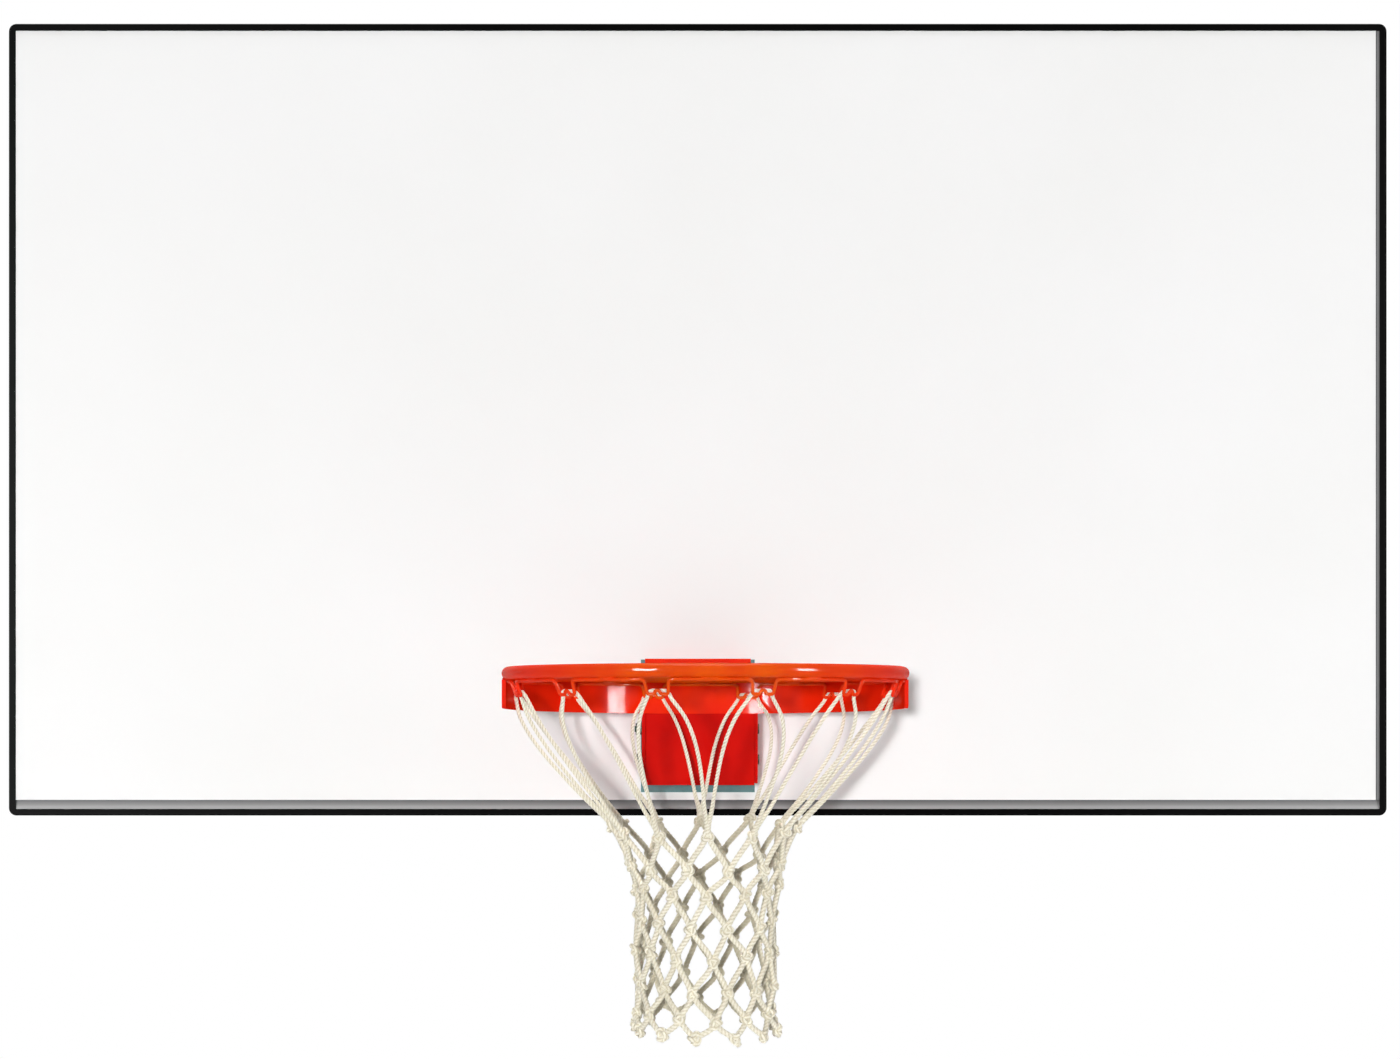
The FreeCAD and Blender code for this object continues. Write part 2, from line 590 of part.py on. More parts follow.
# Two bolts across the bracket: the lower one is the rim's pivot, the upper one stops it at rest.
def cross_bolt(name, level):
    centre = ("at.pivot_y", level)
    nut_span = ("-at.cheek_outer - dims.cross_nut_height", "-at.cheek_outer")
    head_span = ("at.cheek_outer", "at.cheek_outer + dims.cross_head_height")
    shank_span = (f"{nut_span[0]} - dims.cross_bolt_end", head_span[0])
    head = cylinder(f"{name}_bolt_head", "dims.cross_head_radius", "X", head_span, centre)
    shank = cylinder(f"{name}_bolt_shank", "dims.cross_bolt_radius", "X", shank_span, centre)
    node(fuse(f"{name}_bolt", head, shank))
    hex_radius = "dims.cross_bolt_radius + dims.cross_hex_wall"
    nut = hexagon(f"{name}_nut_blank", hex_radius, "X", nut_span, centre)
    bore = cylinder(f"{name}_nut_bore", "dims.cross_bolt_radius + dims.running_gap", "X", nut_span, centre)
    node(cut(f"{name}_nut", nut, bore))


def cross_bolts():
    cross_bolt("pivot", "at.pivot_z")
    cross_bolt("stop", "at.stop_z")
    bore = "dims.cross_bolt_radius + dims.bolt_gap"
    pivot = ("at.pivot_y", "at.pivot_z")
    stop = ("at.pivot_y", "at.stop_z")
    bush_end = "at.carrier_half - dims.bush_length"
    spacer_half = f"{bush_end} - dims.fit_gap"
    node(sleeve("pivot_spacer", "at.spacer_radius", bore, "X", (f"-({spacer_half})", spacer_half), pivot))
    bushes, bumpers, spacers = [], [], []
    bumper_end = "at.half_plate - dims.bumper_length"
    eye_out = "at.spring_x + dims.rod_eye_width / 2 + dims.fit_gap"
    eye_in = "at.spring_x - dims.rod_eye_width / 2 - dims.fit_gap"
    running_bore = "dims.cross_bolt_radius + dims.running_gap"
    for side in ("left", "right"):
        bush_x = mirrored(side, bush_end, "at.carrier_half")
        bushes.append(sleeve(f"pivot_bush_{side}", "at.bush_radius", running_bore, "X", bush_x, pivot))
        bumper_x = mirrored(side, bumper_end, "at.half_plate")
        bumpers.append(sleeve(f"stop_bumper_{side}", "dims.bumper_radius", running_bore, "X", bumper_x, stop))
        spacer_x = mirrored(side, eye_out, bumper_end)
        spacers.append(sleeve(f"stop_spacer_{side}", "at.spacer_radius", bore, "X", spacer_x, stop))
    middle_x = (f"-({eye_in})", eye_in)
    spacers.append(sleeve("stop_spacer_middle", "at.spacer_radius", bore, "X", middle_x, stop))
    node(group("pivot_bushes", bushes))
    node(group("stop_bumpers", bumpers))
    node(group("stop_spacers", spacers))


# Tilting half of the rim: the carrier that holds the ring.
def carrier():
    inside_x = ("-at.flange_inner", "at.flange_inner")
    plate_x = ("-at.carrier_half", "at.carrier_half")
    plate_z = ("at.carrier_bottom", "at.carrier_top_z")
    node(box("front_plate", plate_x, ("at.carrier_front", "at.carrier_back"), plate_z))
    top_y = ("at.carrier_back", "at.carrier_back + dims.carrier_top_depth")
    top_z = ("at.carrier_top_z - dims.flange_thickness", "at.carrier_top_z")
    node(box("carrier_top", inside_x, top_y, top_z))
    web_y = ("at.web_front", "at.web_rear")
    web_blank = box("spring_web_blank", inside_x, web_y, about("at.stop_z", "dims.web_height / 2"))
    rod_holes = []
    for side, x in (("left", "-at.spring_x"), ("right", "at.spring_x")):
        radius = "dims.spring_rod_radius + dims.rod_swing_room"
        rod_holes.append(cylinder(f"spring_web_hole_{side}", radius, "Y", web_y, (x, "at.stop_z")))
    node(cut("spring_web", web_blank, *rod_holes))
    corners = [
        ("at.carrier_back", "at.carrier_bottom"),
        ("at.carrier_back", "at.carrier_top_z"),
        (top_y[1], "at.carrier_top_z"),
        ("at.flange_rear", "at.stop_z + dims.web_height / 2"),
        ("at.flange_rear", "at.pivot_z - dims.flange_boss_radius"),
    ]
    pivot = ("at.pivot_y", "at.pivot_z")
    for name, x in (("flange_left", "-at.carrier_half"), ("flange_right", "at.flange_inner")):
        thickness = "dims.flange_thickness"
        sheet_blank = sketched_plate(f"{name}_sheet", "YZ_Plane", corners, thickness, (x, "0", "0"))
        span = (x, f"{x} + {thickness}")
        boss = cylinder(f"{name}_boss", "dims.flange_boss_radius", "X", span, pivot)
        bore = cylinder(f"{name}_bore", "at.bush_radius + dims.running_gap", "X", span, pivot)
        node(cut(name, fuse(f"{name}_blank", sheet_blank, boss), bore))


def ring_and_brace():
    ring = doc.addObject("Part::Torus", "ring")
    bind(ring, {"Radius1": "at.ring_mid", "Radius2": "dims.ring_rod / 2"})
    node(place(ring, "0", "at.ring_y", "at.ring_z"))
    centre = ("0", "at.ring_y")
    deepest = "at.brace_top - dims.brace_height"
    hoop = sleeve("brace_hoop", "at.ring_outer", "at.brace_inner", "Z", (deepest, "at.brace_top"), centre)
    outline = [
        ("0", "-dims.brace_end_height"),
        ("at.ring_outer", "-dims.brace_height"),
        ("at.ring_outer", "0"),
        ("0", "0"),
    ]
    corner = ("-at.ring_outer", "at.ring_y", "at.brace_top")
    taper = sketched_plate("brace_taper", "YZ_Plane", outline, "2 * at.ring_outer", corner)
    bottom = -sheet.brace_end_height
    rounded(taper, "dims.brace_end_radius", lambda one, two: max(one.y, two.y, abs(one.z - bottom)) < tiny)
    node(common("ring_brace", hoop, taper))
    saddle_x = ("-at.carrier_half", "at.carrier_half")
    saddle_y = ("at.ring_y + at.ring_outer - dims.saddle_horn", "at.carrier_front")
    mid_brace = "at.brace_top - dims.brace_height / 2"
    arc = "at.ring_outer + dims.weld_gap"
    for name, sign in (("saddle_upper", "+"), ("saddle_lower", "-")):
        middle = f"{mid_brace} {sign} dims.saddle_spacing / 2"
        saddle_z = about(middle, "dims.saddle_thickness / 2")
        blank = box(f"{name}_blank", saddle_x, saddle_y, saddle_z)
        node(cut(name, blank, cylinder(f"{name}_arc", arc, "Z", saddle_z, centre)))


def spring_rods():
    washers, nuts = [], []
    bore = "dims.spring_rod_radius + dims.running_gap"
    hex_radius = "dims.spring_rod_radius + dims.rod_hex_wall"
    washer_y = ("at.rod_nut_rear", "at.rod_washer_rear")
    nut_y = ("at.rod_nut_front", "at.rod_nut_rear")
    for side, x in (("left", "-at.spring_x"), ("right", "at.spring_x")):
        name = f"rod_{side}"
        eye_span = about(x, "dims.rod_eye_width / 2")
        stop = ("at.pivot_y", "at.stop_z")
        centre = (x, "at.stop_z")
        eye = cylinder(f"{name}_eye", "dims.rod_eye_radius", "X", eye_span, stop)
        shaft = cylinder(f"{name}_shaft", "dims.spring_rod_radius", "Y", ("at.rod_end", "at.pivot_y"), centre)
        hole = cylinder(f"{name}_hole", "dims.cross_bolt_radius + dims.running_gap", "X", eye_span, stop)
        node(cut(name, fuse(f"{name}_blank", eye, shaft), hole))
        washers.append(sleeve(f"rod_washer_{side}", "dims.rod_washer_radius", bore, "Y", washer_y, centre))
        nut = hexagon(f"rod_nut_{side}_blank", hex_radius, "Y", nut_y, centre)
        nuts.append(cut(f"rod_nut_{side}", nut, cylinder(f"rod_nut_{side}_bore", bore, "Y", nut_y, centre)))
    node(group("rod_washers", washers))
    node(group("rod_nuts", nuts))


# Routes for round wire and cord: straight runs and arcs that leave each other smoothly.
def corner_arc(start, corner, end):
    towards = (start + end) / 2 - corner
    leg = (start - corner).Length
    half_turn = math.asin(towards.Length / leg)
    radius = leg / math.tan(half_turn)
    middle = corner + towards.normalize() * (radius / math.cos(half_turn) - radius)
    return Part.Arc(start, middle, end).toShape()


def rounded_route(points, radii):
    edges = []
    start = points[0]
    for before, corner, after, radius in zip(points, points[1:], points[2:], radii):
        into = (corner - before).normalize()
        out = (after - corner).normalize()
        room = radius * math.tan(into.getAngle(out) / 2)
        arc_start = corner - into * room
        arc_end = corner + out * room
        edges.append(Part.LineSegment(start, arc_start).toShape())
        edges.append(corner_arc(arc_start, corner, arc_end))
        start = arc_end
    edges.append(Part.LineSegment(start, points[-1]).toShape())
    return edges


def mirrored_edges(edges):
    return [edge.mirror(Vector(), Vector(1, 0, 0)) for edge in edges]


def round_bar(label, edges, diameter):
    path = Part.Wire(Part.sortEdges(edges)[0])
    first = path.OrderedEdges[0]
    start = path.OrderedVertexes[0].Point
    heading = first.tangentAt(first.FirstParameter)
    section = Part.Wire(Part.Circle(start, heading, diameter / 2).toShape())
    bar = path.makePipeShell([section], True, False)
    expected = math.pi * diameter**2 / 4 * path.Length
    print(f"{label}: length {path.Length:.1f} mm, volume {bar.Volume / expected:.4f} of section times length")
    return bar


def ring_copies(solid):
    step = 360 / sheet.net_count
    copies = []
    for count in range(int(sheet.net_count)):
        turned = solid.copy()
        turned.rotate(Vector(), Vector(0, 0, 1), step * (count + 0.5))
        copies.append(turned)
    return Part.makeCompound(copies)


def shape_node(name, shape, position):
    piece = doc.addObject("Part::Feature", name)
    piece.Shape = shape
    piece.Placement = FreeCAD.Placement(position, FreeCAD.Rotation())
    return node(piece)


# Round the ring's axis: an angle from the front, a radius and a height above the ring plane.
def round_axis(angle, radius, height):
    return Vector(radius * math.sin(angle), -radius * math.cos(angle), height)


def ring_centre():
    return Vector(0, at.ring_y, at.ring_z)


# One hook: a wire that drops from its run under the rod into two loops with a hump between them.
def hook_point(sideways, depth_share):
    radius = at.hook_radius - sheet.hook_lean * depth_share
    return Vector(sideways, -radius, at.hook_level - sheet.hook_depth * depth_share)


def net_hooks():
    half_step = math.pi / sheet.net_count
    run_end = round_axis(half_step, at.hook_radius, at.hook_level)
    run_heading = Vector(math.cos(half_step), math.sin(half_step), 0)
    run_bend = run_end - run_heading * at.hook_radius * math.tan(half_step / 2)
    hump_share = 1 - sheet.hook_hump / sheet.hook_depth
    side = [
        run_end,
        run_bend,
        hook_point(sheet.hook_half_width, 0),
        hook_point(sheet.hook_loop_outside, 1),
        hook_point(sheet.hook_loop_inside, 1),
        hook_point(0, hump_share),
    ]
    other_side = [Vector(-point.x, point.y, point.z) for point in reversed(side[:-1])]
    shoulder = sheet.hook_shoulder_bend
    run_radius = (run_bend.x - sheet.hook_half_width - shoulder) / math.tan(half_step / 2)
    radii = [run_radius, shoulder, sheet.hook_bend, sheet.hook_bend, sheet.hook_hump_bend]
    wire = round_bar("net hook", rounded_route(side + other_side, radii + radii[-2::-1]), sheet.hook_wire)
    shape_node("net_hooks", ring_copies(wire), ring_centre())


# One net cord: over both loops of its hook, then down to the knots on either side by turns.
def net_radius(row):
    spread = 0.4
    top = (sheet.net_top_radius - sheet.net_waist_radius) * spread ** (row - 1)
    mouth = (sheet.net_mouth_radius - sheet.net_waist_radius) * spread ** (sheet.net_rows - row)
    return sheet.net_waist_radius + top + mouth


def net():
    half_step = math.pi / sheet.net_count
    over = (sheet.hook_wire + sheet.cord_diameter) / 2 + sheet.cord_gap
    loop_side = sheet.cord_spacing / 2
    loop = hook_point(loop_side, 1)
    inside = loop + Vector(0, over, 0)
    outside = loop - Vector(0, over, 0)
    above = loop + Vector(0, 0, over)
    dip = Vector(0, inside.y, inside.z - loop_side)
    inside_left = Vector(-inside.x, inside.y, inside.z)
    drop = outside - Vector(0, 0, sheet.cord_drop)
    points = [outside, drop]
    for row in range(1, int(sheet.net_rows) + 1):
        radius = net_radius(row)
        aside = (sheet.cord_diameter + sheet.knot_gap) / 2 / radius
        angle = half_step - aside if row % 2 else aside
        points.append(round_axis(angle, radius, -sheet.net_top_drop - sheet.net_row_pitch * (row - 1)))
    points.append(points[-1] - Vector(0, 0, sheet.net_tail))
    radii = [sheet.cord_bend] + [sheet.knot_bend] * int(sheet.net_rows)
    leg = rounded_route(points, radii)
    leg.append(Part.Arc(inside, above, outside).toShape())
    edges = leg + mirrored_edges(leg) + [Part.Arc(inside, dip, inside_left).toShape()]
    cord = round_bar("net cord", edges, sheet.cord_diameter)
    shape_node("net", ring_copies(cord), ring_centre())


# Springs: a helix of quarter turns, each made of two arcs that share the helix's headings.
def helix_arcs(radius, rise, turns):
    steps = int(round(turns * 4))
    ends = []
    for step in range(steps + 1):
        angle = math.pi / 2 * step
        point = Vector(radius * math.cos(angle), rise * step / steps, radius * math.sin(angle))
        slope = rise / (2 * math.pi * turns)
        heading = Vector(-radius * math.sin(angle), slope, radius * math.cos(angle)).normalize()
        ends.append((point, heading))
    arcs = []
    for (start, leaving), (end, arriving) in zip(ends, ends[1:]):
        chord = end - start
        both = leaving + arriving
        square = both.dot(both) - 4
        half = chord.dot(both)
        reach = (half - math.sqrt(half**2 - square * chord.dot(chord))) / square
        first = start + leaving * reach
        second = end - arriving * reach
        joint = (first + second) / 2
        arcs += [corner_arc(start, first, joint), corner_arc(joint, second, end)]
    return arcs


def least_self_gap(edges, diameter, samples=1200):
    path = Part.Wire(Part.sortEdges(edges)[0])
    points = path.discretize(Number=samples)
    apart = int(math.pi * diameter / path.Length * samples)
    pairs = ((one, other) for start, one in enumerate(points) for other in points[start + apart :])
    return min(one.distanceToPoint(other) for one, other in pairs) - diameter


def springs():
    room = at.web_front - at.rod_washer_rear
    rise = room - 2 * sheet.fit_gap - sheet.spring_wire
    arcs = helix_arcs(sheet.spring_radius, rise, sheet.spring_turns)
    print(f"spring: least gap between turns {least_self_gap(arcs, sheet.spring_wire):.2f} mm")
    coil = round_bar("spring", arcs, sheet.spring_wire)
    start = at.rod_washer_rear + sheet.fit_gap + sheet.spring_wire / 2
    for name, x in (("spring_left", -at.spring_x), ("spring_right", at.spring_x)):
        shape_node(name, coil.copy(), Vector(x, start, at.stop_z))


board_sheets()
edge_rails()
beads()
rear_frame()
mount_ears()
corner_plates()
rim_fixings()
rim_bracket()
cross_bolts()
carrier()
ring_and_brace()
spring_rods()
net_hooks()
net()
springs()
doc.recompute()

failed = [piece.Label for piece in doc.Objects if {"Invalid", "Error"} & set(piece.State)]
failed += [piece.Label for piece in nodes if piece.Shape.isNull() or not piece.Shape.isValid()]
if failed:
    raise SystemExit(f"these pieces failed: {failed}")

os.makedirs("parts", exist_ok=True)
for piece in nodes:
    piece.Shape.exportStep(f"parts/{piece.Label}.step")
print(f"wrote {len(nodes)} pieces")
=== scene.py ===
import math
import random

import bmesh
import bpy
import numpy as np
from mathutils import Matrix, Vector


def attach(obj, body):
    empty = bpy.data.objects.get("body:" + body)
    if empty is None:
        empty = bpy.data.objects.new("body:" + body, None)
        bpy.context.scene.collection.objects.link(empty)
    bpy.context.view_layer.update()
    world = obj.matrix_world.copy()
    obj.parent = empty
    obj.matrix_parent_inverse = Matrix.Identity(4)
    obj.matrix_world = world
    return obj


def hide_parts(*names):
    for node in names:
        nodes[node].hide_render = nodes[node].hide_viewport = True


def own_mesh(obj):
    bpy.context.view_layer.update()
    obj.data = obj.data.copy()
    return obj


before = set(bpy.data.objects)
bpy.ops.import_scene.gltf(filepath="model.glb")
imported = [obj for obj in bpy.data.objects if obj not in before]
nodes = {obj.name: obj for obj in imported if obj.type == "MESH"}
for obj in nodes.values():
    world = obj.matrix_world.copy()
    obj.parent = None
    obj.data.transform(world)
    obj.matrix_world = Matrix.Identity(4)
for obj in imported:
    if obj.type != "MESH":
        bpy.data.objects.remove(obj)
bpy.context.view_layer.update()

# Basketball backboard with a breakaway rim and a knotted net. Metres, X right, Y to the wall, Z up.
ringCentre = Vector((0.0, -0.4465, -0.3435))
scene = bpy.context.scene
scene.view_settings.view_transform = "Standard"


def hexToLinear(code):
    channels = [int(code[i:i + 2], 16) / 255 for i in (1, 3, 5)]
    return tuple(c / 12.92 if c <= 0.04045 else ((c + 0.055) / 1.055) ** 2.4 for c in channels) + (1.0,)


def perMetre(millimetres):
    return 1000.0 / millimetres  # how often a pattern of that real size repeats in a metre


def addNode(tree, kind, sockets=None, links=None, **settings):
    node = tree.nodes.new(kind)
    for name, value in settings.items():
        setattr(node, name, value)
    for name, value in (sockets or {}).items():
        node.inputs[name].default_value = value
    for name, source in (links or {}).items():
        tree.links.new(source, node.inputs[name])
    return node


def newMaterial(name):
    material = bpy.data.materials.new(name)
    material.use_nodes = True
    material.node_tree.nodes.clear()
    return material, material.node_tree


def setRamp(ramp, stops):
    elements = ramp.color_ramp.elements
    while len(elements) < len(stops):
        elements.new(1.0)
    for element, (position, code) in zip(elements, stops):
        element.position = position
        element.color = hexToLinear(code)


def dress(material, *names):
    for name in names:
        node = nodes[name]
        node.data.materials.clear()
        node.data.materials.append(material)


# Sheet, coats and beads

# White acrylic-faced sheet, rolled: an even bright white with a soft gloss and a hardly seen waviness.
def makeWhiteAcrylic():
    material, tree = newMaterial("whiteAcrylicSheet")
    place = addNode(tree, "ShaderNodeTexCoord").outputs["Object"]
    cloud = addNode(tree, "ShaderNodeTexNoise", {"Scale": perMetre(420), "Detail": 2.0}, {"Vector": place})
    tint = addNode(tree, "ShaderNodeValToRGB", links={"Fac": cloud.outputs["Fac"]})
    setRamp(tint, [(0.3, "#F4F4F3"), (0.7, "#F7F7F7")])
    handling = addNode(
        tree, "ShaderNodeTexNoise", {"Scale": perMetre(90), "Detail": 4.0}, {"Vector": place})
    gloss = addNode(
        tree, "ShaderNodeMapRange", {"To Min": 0.42, "To Max": 0.5}, {"Value": handling.outputs["Fac"]})
    peel = addNode(tree, "ShaderNodeTexNoise", {"Scale": perMetre(4)}, {"Vector": place})
    bump = addNode(
        tree, "ShaderNodeBump", {"Strength": 0.04, "Distance": 0.0002}, {"Height": peel.outputs["Fac"]})
    shader = addNode(
        tree, "ShaderNodeBsdfPrincipled", {"IOR": 1.49, "Specular IOR Level": 0.08},
        {"Base Color": tint.outputs["Color"], "Roughness": gloss.outputs["Result"],
         "Normal": bump.outputs["Normal"]})
    addNode(tree, "ShaderNodeOutputMaterial", links={"Surface": shader.outputs["BSDF"]})
    return material


# Powder coat on folded or welded steel: a fine orange-peel skin, satin, a little rubbed.
def makePowderCoat(name, dark, pale, peelSize, specular):
    material, tree = newMaterial(name)
    place = addNode(tree, "ShaderNodeTexCoord").outputs["Object"]
    cloud = addNode(tree, "ShaderNodeTexNoise", {"Scale": perMetre(60), "Detail": 5.0}, {"Vector": place})
    tint = addNode(tree, "ShaderNodeValToRGB", links={"Fac": cloud.outputs["Fac"]})
    setRamp(tint, [(0.35, dark), (0.7, pale)])
    gloss = addNode(
        tree, "ShaderNodeMapRange", {"To Min": 0.36, "To Max": 0.52}, {"Value": cloud.outputs["Fac"]})
    peel = addNode(
        tree, "ShaderNodeTexNoise", {"Scale": perMetre(peelSize), "Detail": 1.0}, {"Vector": place})
    bump = addNode(
        tree, "ShaderNodeBump", {"Strength": 0.25, "Distance": 0.0003}, {"Height": peel.outputs["Fac"]})
    shader = addNode(
        tree, "ShaderNodeBsdfPrincipled", {"IOR": 1.5, "Specular IOR Level": specular},
        {"Base Color": tint.outputs["Color"], "Roughness": gloss.outputs["Result"],
         "Normal": bump.outputs["Normal"]})
    addNode(tree, "ShaderNodeOutputMaterial", links={"Surface": shader.outputs["BSDF"]})
    return material


# Sprayed and baked enamel on steel: strong orange red, wet gloss, with painted light: more orange in the
# front middle as a painted sheen, redder towards the rim's two sides as painted shade.
def makeEnamel(name, deep, bright, sides, coat):
    material, tree = newMaterial(name)
    place = addNode(tree, "ShaderNodeTexCoord").outputs["Object"]
    cloud = addNode(tree, "ShaderNodeTexNoise", {"Scale": perMetre(35), "Detail": 3.0}, {"Vector": place})
    tint = addNode(tree, "ShaderNodeValToRGB", links={"Fac": cloud.outputs["Fac"]})
    setRamp(tint, [(0.3, deep), (0.7, bright)])
    split = addNode(tree, "ShaderNodeSeparateXYZ", links={"Vector": place})
    # painted light: the colour moves from the sheen's orange in the middle to the sides colour, which stands
    # for shade, by distance from the middle
    aside = addNode(tree, "ShaderNodeMath", links={0: split.outputs["X"]}, operation="ABSOLUTE")
    sideShade = addNode(
        tree, "ShaderNodeMapRange", {"From Min": 0.06, "From Max": 0.21}, {"Value": aside.outputs["Value"]})
    paint = addNode(
        tree, "ShaderNodeMix", {7: hexToLinear(sides)},
        {0: sideShade.outputs["Result"], 6: tint.outputs["Color"]}, data_type="RGBA")
    gloss = addNode(
        tree, "ShaderNodeMapRange", {"To Min": 0.13, "To Max": 0.2}, {"Value": cloud.outputs["Fac"]})
    peel = addNode(tree, "ShaderNodeTexNoise", {"Scale": perMetre(2.5), "Detail": 1.0}, {"Vector": place})
    bump = addNode(
        tree, "ShaderNodeBump", {"Strength": 0.08, "Distance": 0.0002}, {"Height": peel.outputs["Fac"]})
    shader = addNode(
        tree, "ShaderNodeBsdfPrincipled",
        {"IOR": 1.5, "Specular IOR Level": 0.0, "Coat Weight": coat, "Coat Roughness": 0.09},
        {"Base Color": paint.outputs[2], "Roughness": gloss.outputs["Result"],
         "Normal": bump.outputs["Normal"]})
    addNode(tree, "ShaderNodeOutputMaterial", links={"Surface": shader.outputs["BSDF"]})
    return material


# Extruded grey vinyl bead, matte, set only along the bottom and right edges as a grey strip standing for the
# sheet's shade there; its colour is painted shade, dark in the groove beside the sheet, pale by the lip.
def makeShadedVinylBead(name, axis, groove, lip, stops):
    material, tree = newMaterial(name)
    place = addNode(tree, "ShaderNodeTexCoord").outputs["Object"]
    split = addNode(tree, "ShaderNodeSeparateXYZ", links={"Vector": place})
    across = addNode(
        tree, "ShaderNodeMapRange", {"From Min": groove, "From Max": lip}, {"Value": split.outputs[axis]})
    tint = addNode(tree, "ShaderNodeValToRGB", links={"Fac": across.outputs["Result"]})
    setRamp(tint, stops)
    grit = addNode(  # drawn coarser than the real grit, so that it shows
        tree, "ShaderNodeTexNoise", {"Scale": perMetre(1.2)}, {"Vector": place})
    bump = addNode(
        tree, "ShaderNodeBump", {"Strength": 0.2, "Distance": 0.0002}, {"Height": grit.outputs["Fac"]})
    shader = addNode(
        tree, "ShaderNodeBsdfPrincipled", {"Roughness": 0.6, "IOR": 1.53, "Specular IOR Level": 0.3},
        {"Base Color": tint.outputs["Color"], "Normal": bump.outputs["Normal"]})
    addNode(tree, "ShaderNodeOutputMaterial", links={"Surface": shader.outputs["BSDF"]})
    return material


# Bare and plated metals

# Rolled or turned metal, zinc plated, drawn or cast: cloudy sheen with fine lines from the making, which are
# drawn coarser than real, so that they show.
def makeMetal(name, dark, pale, roughness, lineSize, stretch):
    material, tree = newMaterial(name)
    place = addNode(tree, "ShaderNodeTexCoord").outputs["Object"]
    cloud = addNode(tree, "ShaderNodeTexNoise", {"Scale": perMetre(9), "Detail": 4.0}, {"Vector": place})
    tint = addNode(tree, "ShaderNodeValToRGB", links={"Fac": cloud.outputs["Fac"]})
    setRamp(tint, [(0.3, dark), (0.7, pale)])
    gloss = addNode(
        tree, "ShaderNodeMapRange", {"To Min": roughness - 0.08, "To Max": roughness + 0.08},
        {"Value": cloud.outputs["Fac"]})
    turned = addNode(tree, "ShaderNodeMapping", {"Scale": stretch}, {"Vector": place})
    lines = addNode(
        tree, "ShaderNodeTexNoise", {"Scale": perMetre(lineSize)}, {"Vector": turned.outputs["Vector"]})
    bump = addNode(
        tree, "ShaderNodeBump", {"Strength": 0.15, "Distance": 0.0002}, {"Height": lines.outputs["Fac"]})
    shader = addNode(
        tree, "ShaderNodeBsdfPrincipled", {"Metallic": 1.0},
        {"Base Color": tint.outputs["Color"], "Roughness": gloss.outputs["Result"],
         "Normal": bump.outputs["Normal"]})
    addNode(tree, "ShaderNodeOutputMaterial", links={"Surface": shader.outputs["BSDF"]})
    return material


# Rolled thread on plated rod at a coarse metric pitch, drawn as a bump: bright crests, and dark roots as
# painted shade.
def makeThread():
    material, tree = newMaterial("zincPlatedThread")
    place = addNode(tree, "ShaderNodeTexCoord").outputs["Object"]
    bandsPerUnit = 20.0 / math.tau  # what the wave node draws in one unit at a scale of 1
    pitch = addNode(
        tree, "ShaderNodeTexWave",
        {"Scale": perMetre(1.75) / bandsPerUnit, "Distortion": 0.4, "Detail": 1.0},
        {"Vector": place}, bands_direction="Y", wave_profile="TRI")
    # painted shade: dark where the wave is low, in the thread's roots
    tint = addNode(tree, "ShaderNodeValToRGB", links={"Fac": pitch.outputs["Fac"]})
    setRamp(tint, [(0.1, "#59615F"), (0.8, "#B9C1BE")])
    bump = addNode(
        tree, "ShaderNodeBump", {"Strength": 0.6, "Distance": 0.0006}, {"Height": pitch.outputs["Fac"]})
    shader = addNode(
        tree, "ShaderNodeBsdfPrincipled", {"Metallic": 1.0, "Roughness": 0.34},
        {"Base Color": tint.outputs["Color"], "Normal": bump.outputs["Normal"]})
    addNode(tree, "ShaderNodeOutputMaterial", links={"Surface": shader.outputs["BSDF"]})
    return material


# Rubber, plastic, wood and cord

# Moulded rubber and plastic: dull skin with fine pits, drawn coarser than real, and a breath of dust.
def makeMoulded(name, dark, pale, roughness, pitSize):
    material, tree = newMaterial(name)
    place = addNode(tree, "ShaderNodeTexCoord").outputs["Object"]
    dust = addNode(tree, "ShaderNodeTexNoise", {"Scale": perMetre(18), "Detail": 6.0}, {"Vector": place})
    tint = addNode(tree, "ShaderNodeValToRGB", links={"Fac": dust.outputs["Fac"]})
    setRamp(tint, [(0.35, dark), (0.75, pale)])
    pits = addNode(tree, "ShaderNodeTexVoronoi", {"Scale": perMetre(pitSize)}, {"Vector": place})
    bump = addNode(
        tree, "ShaderNodeBump", {"Strength": 0.2, "Distance": 0.0003}, {"Height": pits.outputs["Distance"]})
    shader = addNode(
        tree, "ShaderNodeBsdfPrincipled", {"Roughness": roughness, "IOR": 1.5, "Specular IOR Level": 0.35},
        {"Base Color": tint.outputs["Color"], "Normal": bump.outputs["Normal"]})
    addNode(tree, "ShaderNodeOutputMaterial", links={"Surface": shader.outputs["BSDF"]})
    return material


# Plywood sealed with grey paint: the long grain still lifts the film, so it shows as pale and dark streaks.
def makeSealedPlywood():
    material, tree = newMaterial("greySealedPlywood")
    place = addNode(tree, "ShaderNodeTexCoord").outputs["Object"]
    stretched = addNode(tree, "ShaderNodeMapping", {"Scale": (0.03, 1.0, 1.0)}, {"Vector": place})
    grain = addNode(
        tree, "ShaderNodeTexNoise",
        {"Scale": perMetre(7), "Detail": 8.0, "Roughness": 0.65, "Distortion": 0.6},
        {"Vector": stretched.outputs["Vector"]})
    tint = addNode(tree, "ShaderNodeValToRGB", links={"Fac": grain.outputs["Fac"]})
    setRamp(tint, [(0.3, "#6F6D68"), (0.55, "#86847E"), (0.75, "#95938C")])
    bump = addNode(
        tree, "ShaderNodeBump", {"Strength": 0.3, "Distance": 0.0005}, {"Height": grain.outputs["Fac"]})
    shader = addNode(
        tree, "ShaderNodeBsdfPrincipled", {"Roughness": 0.55, "IOR": 1.5, "Specular IOR Level": 0.35},
        {"Base Color": tint.outputs["Color"], "Normal": bump.outputs["Normal"]})
    addNode(tree, "ShaderNodeOutputMaterial", links={"Surface": shader.outputs["BSDF"]})
    return material
